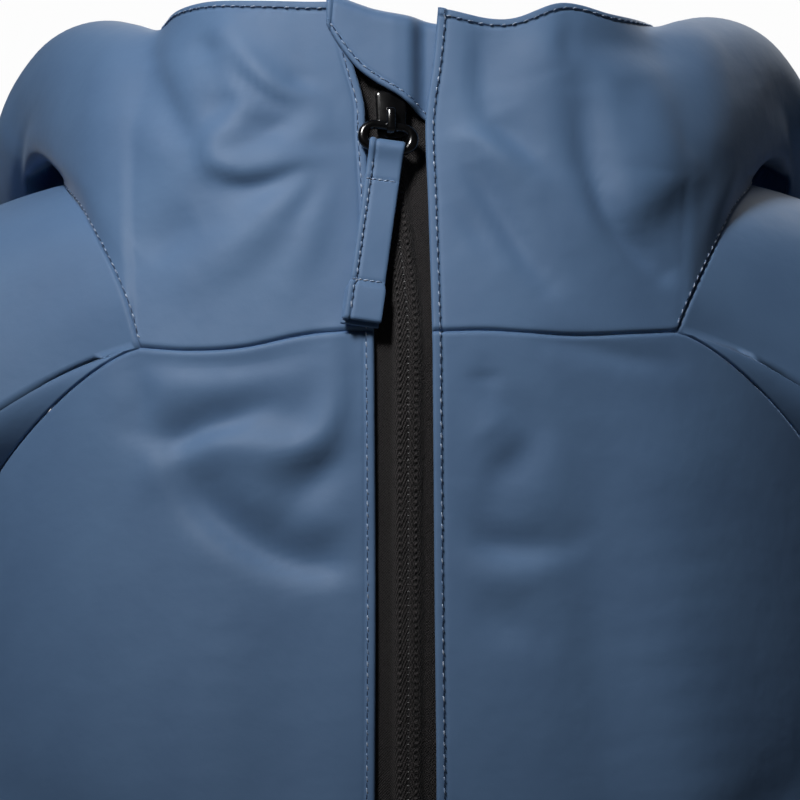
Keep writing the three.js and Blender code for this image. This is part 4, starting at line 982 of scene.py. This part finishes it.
print("chin guard")
guard = {
    "x": (-22.4, -18.9, -14, -9.2, -2.2, 0.6, 2.8, 5, 8, 14),
    "low": (44.9, 39.2, 33, 29.2, 24.9, 22.7, 20.9, 19.2, 16.8, 13),
    "top": (54, 53.4, 51.6, 50, 48.6, 48.1, 47.7, 47.2, 46.6, 46),
    "depth": (-1.9, -1.9, -1.9, -1.9, -1.9, -1.8, -0.4, 1.3, 1.5, 1.5),
    "innerDepth": 6.4, "innerZ": 14, "innerDrop": 6, "stitchIn": 2.2,
}


def guardGrid():
    x = np.linspace(guard["x"][0], guard["x"][-1], 120)
    front = at(guard, "x", "depth", x)
    low, top = at(guard, "x", "low", x), at(guard, "x", "top", x)
    radius = (guard["innerDepth"] - front) / 2
    foldZ = top - radius
    t = np.linspace(0, 1, 40)[:, None]
    leaf = lerp(low, foldZ, t), np.broadcast_to(front, (40, 120))
    a = np.linspace(0, math.pi, 22)[1:-1, None]
    bend = foldZ + radius * np.sin(a), front + radius * (1 - np.cos(a))
    innerLow = np.maximum(guard["innerZ"], low - guard["innerDrop"])
    inside = lerp(foldZ, innerLow, t), np.full((40, 120), guard["innerDepth"])
    z = np.concatenate([leaf[0], bend[0], inside[0]])
    depth = np.concatenate([leaf[1], bend[1], inside[1]])
    # a soft upright trough where the tab dips behind the right edge, and a crease in its middle
    dips = 1.1 * np.exp(-(((x[None] - 3) / 1.9) ** 2)) - 0.3 * np.exp(-(((x[None] + 3.5) / 3) ** 2))
    depth = depth + dips * (1 - smooth(40, 52, np.arange(len(z))))[:, None]
    grid = placketPoint(np.broadcast_to(x, z.shape), z) - placketNormal(z) * depth[..., None]
    grid = turned(regrid(turned(grid), foldRows, (0, 0.3, 0.8, 1.6), 44))
    return regrid(grid, foldRows, (0, 0.3, 0.8, 1.6), 46)


piece, top, n = wall("chinGuard", guardGrid(), 1, ((0.35, guard["stitchIn"]), None, (0.3, 2.4), None), 1.0,
                     clothBoth)
finishCloth(piece, "chin_guard")
path, normals = lineAt(top, n, 0, guard["stitchIn"])
sew("stitching_guard", path, normals, 2.5)

# zip: the coil lies behind the tapes, whose raised edges meet over it

print("zip")
zipSizes = {
    "half": 16, "top": 43, "bottom": -525, "boxTop": -510, "boxHalf": 5, "tape": 0.6, "raise": 1.5,
    "pitch": 1.86, "wire": 0.37, "chainHalf": 2.95, "height": 1.45, "sliderZ": 20, "spread": 2.7,
}
coilTurn = {  # one turn in front of the tape's back: share across, height, drift along the zip, wire
    "across": (0, 0.14, 0.4, 0.72, 0.93, 1), "out": (0.1, 0.62, 0.98, 1.02, 0.9, 0.55),
    "drift": (0.18, 0.06, -0.05, 0, 0.05, 0.08), "wire": (0.8, 1, 1, 1.05, 1, 0.6), "overlap": 0.75,
}
tapeColumns = (0, 0.12, 0.3, 0.55, 0.9, 1.4, 2, 2.6, 2.9, 3.2, 3.5, 3.8, 4.2, 4.8, 6, 8, 10, 12, 14, 16)


def onZip(x, z, out):  # a point over the tape
    return placketPoint(x, z) + placketNormal(z) * np.asarray(out - tapeInset(z))[..., None]


for side, sign in signs.items():
    z = np.concatenate([np.linspace(zipSizes["top"], zipSizes["boxTop"] + 1.5, 240),
                        np.linspace(zipSizes["boxTop"], zipSizes["bottom"], 8)])[:, None]
    apart = zipSizes["spread"] * smooth(zipSizes["sliderZ"] - 4, zipSizes["top"], z)
    box = np.where(z <= zipSizes["boxTop"], zipSizes["boxHalf"] + 0.3, 0)
    inner = 0.1 + apart + box
    fromEdge = np.array(tapeColumns)[None] * (zipSizes["half"] - inner) / zipSizes["half"]
    x = zipMiddle(z) + sign * (inner + fromEdge)
    raised = zipSizes["raise"] * (1 - smooth(2.3, 4.6, fromEdge)) * smooth(zipSizes["boxTop"] + 1,
                                                                           zipSizes["boxTop"] + 7, z)
    raised = raised - 0.25 * (1 - smooth(0, 0.5, fromEdge)) + 0.15 * np.exp(-((fromEdge - 1.5) / 0.9) ** 2)
    grid = onZip(x, np.broadcast_to(z, x.shape), raised)
    piece, top, n = wall(f"zipTape_{side}", grid, -sign, (None, None, None, None), zipSizes["tape"],
                         [tapeBlack, tapeBlack])
    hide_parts(f"zip_tape_{side}")
    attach(piece, "coat")

# the turns from each side pass each other in the middle
turnsZ = np.arange(zipSizes["sliderZ"] - 1.5, zipSizes["boxTop"] + 0.6, -zipSizes["pitch"])
coils = []
for side, sign in signs.items():
    z = turnsZ - (zipSizes["pitch"] / 2 if side == "right" else 0)
    across = lerp(zipSizes["chainHalf"], -coilTurn["overlap"], np.array(coilTurn["across"]))
    x = zipMiddle(z)[:, None] + sign * across[None]
    out = zipSizes["tape"] / 2 + np.array(coilTurn["out"]) * (zipSizes["height"] - 0.4)
    coils.append(onZip(x, z[:, None] + np.array(coilTurn["drift"])[None], np.broadcast_to(out, x.shape)))
lines = np.concatenate(coils)
piece = tubes("zipCoil", lines, np.array(coilTurn["wire"]) * zipSizes["wire"],
              placketNormal(lines[:, 0, 2]), coilBlack)
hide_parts("zip_chain")
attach(piece, "coat")


# hard pieces: each is modelled in its own frame, x to the right, y into the coat and z up

mm = 0.001
tiny = 0.00002


def frameAt(right, inward, up, origin):
    turn = np.eye(4)
    turn[:3] = np.stack([right, inward, up, np.asarray(origin) * mm], axis=1)
    return turn


def settle(piece, turn, node, body, material):  # puts a finished piece into the coat's frame
    piece.data.transform(Matrix(turn))
    piece.data.materials.clear()
    piece.data.materials.append(material)
    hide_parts(node)
    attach(piece, body)


def newBlock(name, low, high):
    bpy.ops.object.select_all(action="DESELECT")
    size = [(b - a) * mm for a, b in zip(low, high)]
    middle = [(a + b) / 2 * mm for a, b in zip(low, high)]
    bpy.ops.mesh.primitive_cube_add(size=1, location=middle, scale=size)
    bpy.context.object.name = name
    bpy.ops.object.transform_apply(location=True, rotation=True, scale=True)
    return bpy.context.object


def choose(piece, kind, test):  # edit mode with the vertices, edges or faces whose corners pass the test
    bpy.ops.object.mode_set(mode="EDIT")
    bpy.ops.mesh.select_mode(type=kind)
    bpy.ops.mesh.select_all(action="DESELECT")
    bpy.ops.object.mode_set(mode="OBJECT")
    mesh = piece.data
    if kind == "VERT":
        for vertex in mesh.vertices:
            vertex.select = test(vertex.co)
    for part in {"EDGE": mesh.edges, "FACE": mesh.polygons}.get(kind, ()):
        part.select = test(*[mesh.vertices[i].co for i in part.vertices])
    bpy.ops.object.mode_set(mode="EDIT")


def soften(piece, width, segments=3):
    bpy.ops.object.mode_set(mode="OBJECT")
    bevel = piece.modifiers.new("edges", "BEVEL")
    bevel.width = width * mm
    bevel.segments = segments
    bevel.limit_method = "ANGLE"
    bevel.angle_limit = math.radians(35)
    bpy.ops.object.modifier_apply(modifier=bevel.name)
    bpy.ops.object.shade_smooth_by_angle(angle=math.radians(40))


def merge(pieces):
    bpy.ops.object.select_all(action="DESELECT")
    for each in pieces:
        each.select_set(True)
    bpy.context.view_layer.objects.active = pieces[0]
    bpy.ops.object.join()
    return pieces[0]


# A torus in the XZ plane whose quarters are moved apart into a ring with straight sides
def longRing(name, wide, high, corner, wire):
    bpy.ops.object.select_all(action="DESELECT")
    bpy.ops.mesh.primitive_torus_add(major_segments=48, minor_segments=20, major_radius=corner * mm,
                                     minor_radius=wire / 2 * mm, rotation=(math.radians(90), 0, 0))
    ring = bpy.context.object
    ring.name = name
    bpy.ops.object.transform_apply(location=True, rotation=True, scale=True)
    for axis, apart in ((0, wide / 2 - corner), (2, high / 2 - corner)):
        for way in (-1, 1):
            choose(ring, "VERT", lambda co: co[axis] * way > tiny)
            shift = [0, 0, 0]
            shift[axis] = way * apart * mm
            bpy.ops.transform.translate(value=shift)
            bpy.ops.object.mode_set(mode="OBJECT")
    return ring


print("slider")
slider = {
    "half": 4.45, "low": -6.5, "high": 7.5, "front": -3.9, "plate": 1.2, "back": 0.8, "corner": 1.7,
    "taper": 0.84, "railIn": 3.3, "railOut": 3.75, "bailWire": 1.1, "bailWide": 2.4, "reach": 2.9,
    "windowLow": -5.0, "windowHigh": 0.6, "crown": 0.3,
}
sliderOut = placketNormal(zipSizes["sliderZ"])
sliderTurn = frameAt((1, 0, 0), -sliderOut, np.cross((1, 0, 0), -sliderOut),
                     onZip(zipMiddle(zipSizes["sliderZ"]), zipSizes["sliderZ"], 0.0).ravel())
parts = []
for name, near in (("front plate", slider["front"]), ("back plate", slider["back"])):
    plate = newBlock(name, (-slider["half"], near, slider["low"]),
                     (slider["half"], near + slider["plate"], slider["high"]))
    choose(plate, "VERT", lambda co: co.z < 0)
    bpy.ops.transform.resize(value=(slider["taper"], 1, 1), center_override=(0, 0, 0))
    choose(plate, "EDGE", lambda a, b: abs(a.y - b.y) > tiny)
    bpy.ops.mesh.bevel(offset=slider["corner"] * mm, segments=6)
    if name == "front plate":  # a low crown with a flat top
        choose(plate, "FACE", lambda *corners: all(co.y < (slider["front"] + 0.1) * mm for co in corners))
        bpy.ops.mesh.inset(thickness=0.9 * mm)
        bpy.ops.transform.translate(value=(0, -slider["crown"] * mm, 0))
    soften(plate, 0.3)
    parts.append(plate)
for way in (-1, 1):  # the flanges that wrap round the coil
    low, high = sorted((way * slider["railIn"], way * slider["railOut"]))
    for near, far in ((slider["front"] + 1, -0.75), (0.65, slider["back"] + 0.4)):
        rail = newBlock("rail", (low, near, slider["low"] + 1.2), (high, far, slider["high"] - 1.6))
        soften(rail, 0.18, 2)
        parts.append(rail)
bail = longRing("bail", slider["reach"] + slider["bailWire"] + 0.6,
                slider["windowHigh"] - slider["windowLow"] + slider["bailWire"], 1.1, slider["bailWire"])
choose(bail, "VERT", lambda co: True)
bpy.ops.transform.resize(value=(1, slider["bailWide"] / slider["bailWire"], 1), center_override=(0, 0, 0))
bpy.ops.transform.rotate(value=math.radians(90), orient_axis="Z", center_override=(0, 0, 0))
bpy.ops.transform.translate(value=(0, (slider["front"] - slider["reach"] / 2 + 0.3) * mm,
                                   (slider["windowLow"] + slider["windowHigh"]) / 2 * mm))
bpy.ops.object.mode_set(mode="OBJECT")
bpy.ops.object.shade_smooth()
body = merge([*parts, bail])
body.name = "zipSlider"
settle(body, sliderTurn, "zip_slider", "coat", enamel)

print("zip box")
box = newBlock("zipBox", (-zipSizes["boxHalf"], -1.9, -7.5), (zipSizes["boxHalf"], 1.9, 7.2))
choose(box, "EDGE", lambda a, b: abs(a.y - b.y) > tiny)
bpy.ops.mesh.bevel(offset=1.5 * mm, segments=6)
choose(box, "FACE", lambda *corners: all(co.y < -1.8 * mm for co in corners))
bpy.ops.mesh.inset(thickness=1.3 * mm)
bpy.ops.transform.translate(value=(0, 0.35 * mm, 0))
choose(box, "VERT", lambda co: co.z < -4 * mm)
bpy.ops.transform.resize(value=(0.9, 0.86, 1), center_override=(0, 0, 0))
soften(box, 0.35)
boxZ = zipSizes["bottom"] + 7.5
boxOut = placketNormal(boxZ)
settle(box, frameAt((1, 0, 0), -boxOut, np.cross((1, 0, 0), -boxOut), onZip(0.0, boxZ, -0.4).ravel()),
       "zip_box", "coat", enamel)

print("puller")
puller = {
    "x": -5.0, "barY": -5.35, "barZ": -3.6, "tilt": 7.9, "lean": 19.8, "ringWide": 16.2, "drop": 6.6,
    "bar": 2.7, "ringDeep": 0.82, "ringSide": 1.18, "corner": 3.0,
    "wide": 9.5, "endWide": 10.4, "long": 51.5, "leaf": 1.0, "layer": 0.72, "endLong": 11.5, "neck": 4.5,
    "seam": 1.9,
}
hinge = (Matrix(sliderTurn) @ Vector((0, puller["barY"] * mm, puller["barZ"] * mm))) / mm
hinge.x = puller["x"]
tilt, lean = math.radians(puller["tilt"]), math.radians(puller["lean"])
alongBar = np.array([math.cos(tilt), 0, -math.sin(tilt)])
upStrip = np.array([math.sin(tilt) * math.cos(lean), math.sin(lean), math.cos(tilt) * math.cos(lean)])
pullerTurn = frameAt(alongBar, np.cross(upStrip, alongBar), upStrip, tuple(hinge))

ring = longRing("pullRing", puller["ringWide"] - puller["bar"], puller["drop"], puller["corner"],
                puller["bar"])
choose(ring, "VERT", lambda co: True)
bpy.ops.transform.resize(value=(1, puller["ringDeep"], 1), center_override=(0, 0, 0))
sideX = (puller["ringWide"] - puller["bar"]) / 2
for way in (-1, 1):  # the sides are broader than the bars
    choose(ring, "VERT", lambda co: co.x * way > (sideX - puller["bar"] / 2 - 0.05) * mm)
    bpy.ops.transform.resize(value=(puller["ringSide"], 1, 1), center_override=(way * sideX * mm, 0, 0))
choose(ring, "VERT", lambda co: True)
bpy.ops.transform.translate(value=(0, 0, -puller["drop"] / 2 * mm))
bpy.ops.object.mode_set(mode="OBJECT")
bpy.ops.object.shade_smooth()
settle(ring, pullerTurn, "pull_ring", "puller", enamel)


# The strip of doubled cloth in side view: inner fold of the end, front leaf, loop round the ring, back leaf
def stripPath():
    leaf = puller["leaf"] / 2 + 0.06
    low = -puller["drop"] - puller["long"]
    endTop = low + puller["endLong"]
    loopY, loopZ = puller["bar"] * puller["ringDeep"] / 2 + 0.75, puller["bar"] / 2 + 0.7
    neck = -puller["drop"] - puller["neck"]
    side = [(0.4, low + 1.3), (0.36, endTop - 1.6), (0.0, endTop - 0.75), (-0.4, endTop - 1.6),
            (-0.42, low + 1.7), (-0.7, low + 0.95), (-1.1, low + 1.2), (-1.22, low + 2.2),
            (-1.2, endTop - 2.2), (-1.05, endTop - 0.9), (-leaf, endTop + 0.3), (-leaf, endTop + 3),
            (-leaf - 0.1, lerp(endTop, neck, 0.5)), (-leaf, neck)]
    turn = np.radians(np.linspace(205, -25, 12))
    side += [(loopY * math.cos(a), -puller["drop"] + loopZ * math.sin(a)) for a in turn]
    side += [(leaf, neck), (leaf + 0.1, lerp(endTop, neck, 0.5)), (leaf, endTop + 3), (leaf, endTop + 0.3),
             (1.2, endTop - 1.2), (1.2, low + 1.5), (1.12, low)]
    path = curve([(0, y, z) for y, z in side], 320)
    return path, reachAlong(path), endTop


path, reach, endTop = stripPath()
z = path[:, 2]
front = path[:, 1] < 0
wide = lerp(puller["wide"], puller["endWide"], 1 - smooth(endTop - 1.5, endTop + 0.8, z))
wide = wide + 0.3 * smooth(-puller["drop"] - 2, -puller["drop"] + 1, z)
# the inner layers stick out at the side
layered = (1 - smooth(endTop - 2, endTop + 0.5, z)) * (0.28 * (path[:, 1] + 1.2))
across = np.linspace(-0.5, 0.5, 60)
grid = np.empty((len(path), 60, 3))
grid[..., 0] = across[None] * wide[:, None] - layered[:, None]
grid[..., 1] = path[:, 1:2]
grid[..., 2] = path[:, 2:3]
wave = 0.16 * np.sin(z / 8.5 + 0.6)[:, None] * (across[None] + 0.2)
wave = wave + 0.1 * np.sin(z / 3.3)[:, None] * across[None]
grid[..., 1] += wave * smooth(endTop, endTop + 6, z)[:, None]
stripColumns = (0, 0.12, 0.35, 0.7, 1.05, 1.3, 1.5, 1.7, 1.9, 2.1, 2.3, 2.6, 3.1)
grid = turned(regrid(turned(grid), stripColumns, (0, 0.12, 0.35, 0.7, 1.1, 1.6), 14))
crossSeams = (endTop + 0.9, -puller["drop"] - 9.4)
pinch = sum(np.exp(-(((z - place) / 0.55) ** 2)) for place in crossSeams)
end = 1 - smooth(endTop - 0.6, endTop + 0.2, z)
thickness = lerp(puller["leaf"] - 0.45 * pinch, puller["layer"], end)[:, None]
turnBy = pullerTurn[:3, :3]
grid = grid @ turnBy.T + np.array(hinge)
piece, top, n = wall("pullStrip", grid, 1, (None, None, (0.22, puller["seam"]), (0.12, 0)), thickness,
                     [clothBoth[0], clothBoth[0]])
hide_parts("pull_strip")
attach(piece, "puller")
faceRows = np.flatnonzero(front & (z > endTop - 8) & (reach > 22) & (z < -puller["drop"] - 2))
path, normals = lineAt(top, n, 2, puller["seam"])
sew("stitching_puller", path[faceRows], normals[faceRows], pitch=2.6)
for place in crossSeams:
    for leafRows in (np.flatnonzero(front & (reach > 22)), np.flatnonzero(~front & (reach > 60))):
        row = leafRows[np.abs(z[leafRows] - place).argmin()]
        sew("stitching_puller", top[row], n[row], 0.2, pitch=1.7)

for group in ("stitching_fronts", "stitching_hem", "stitching_yoke", "stitching_hood", "stitching_cuffs",
              "stitching_guard"):
    makeThread(group, "coat", threadBlue, pitShadeBlue)
makeThread("stitching_puller", "puller", threadBlue, pitShadeBlue)

# floor and light

print("floor and light")
bpy.ops.mesh.primitive_plane_add(size=8, location=(0, 0, -0.95))
floor = bpy.context.object
floor.name = "floor"
floor.data.materials.append(newMaterial("pale matte paint", Base_Color=linear("#e9e9e7"), Roughness=0.8)[0])

lights = {
    "key": {"place": (-0.451, -0.637, 0.878), "aim": (-0.048, -0.08, 0.042), "size": 0.3, "power": 0.3,
            "spread": 21},
    "fill": {"place": (1.3, -1.5, 0.2), "aim": (0, 0, -0.1), "size": 1.6, "power": 0.05, "spread": 150},
    "back": {"place": (0.5, 1.9, 1.3), "aim": (0, 0, -0.3), "size": 1.8, "power": 16, "spread": 150},
}
for name, each in lights.items():
    lamp = bpy.data.objects.new(name, bpy.data.lights.new(name, "AREA"))
    scene.collection.objects.link(lamp)
    lamp.location = each["place"]
    lamp.data.size = each["size"]
    lamp.data.energy = each["power"]
    lamp.data.spread = math.radians(each["spread"])
    aim = Vector(each["aim"]) - Vector(each["place"])
    lamp.rotation_euler = aim.to_track_quat("-Z", "Y").to_euler()

world = bpy.data.worlds.new("studio")
scene.world = world
world.use_nodes = True
tree = world.node_tree
glow = tree.nodes["Background"]  # the dim room that lights the coat
glow.inputs["Color"].default_value = linear("#dfe6ee")
glow.inputs["Strength"].default_value = 0.025
# the white sweep behind it
paper = addNode(tree, "ShaderNodeBackground", Color=linear("#fdfdfd"), Strength=1.0)
seen = addNode(tree, "ShaderNodeLightPath")
both = addNode(tree, "ShaderNodeMixShader", links={0: seen.outputs["Is Camera Ray"], 1: glow.outputs[0],
                                                   2: paper.outputs[0]})
tree.links.new(both.outputs[0], tree.nodes["World Output"].inputs["Surface"])
scene.view_settings.view_transform = "Standard"
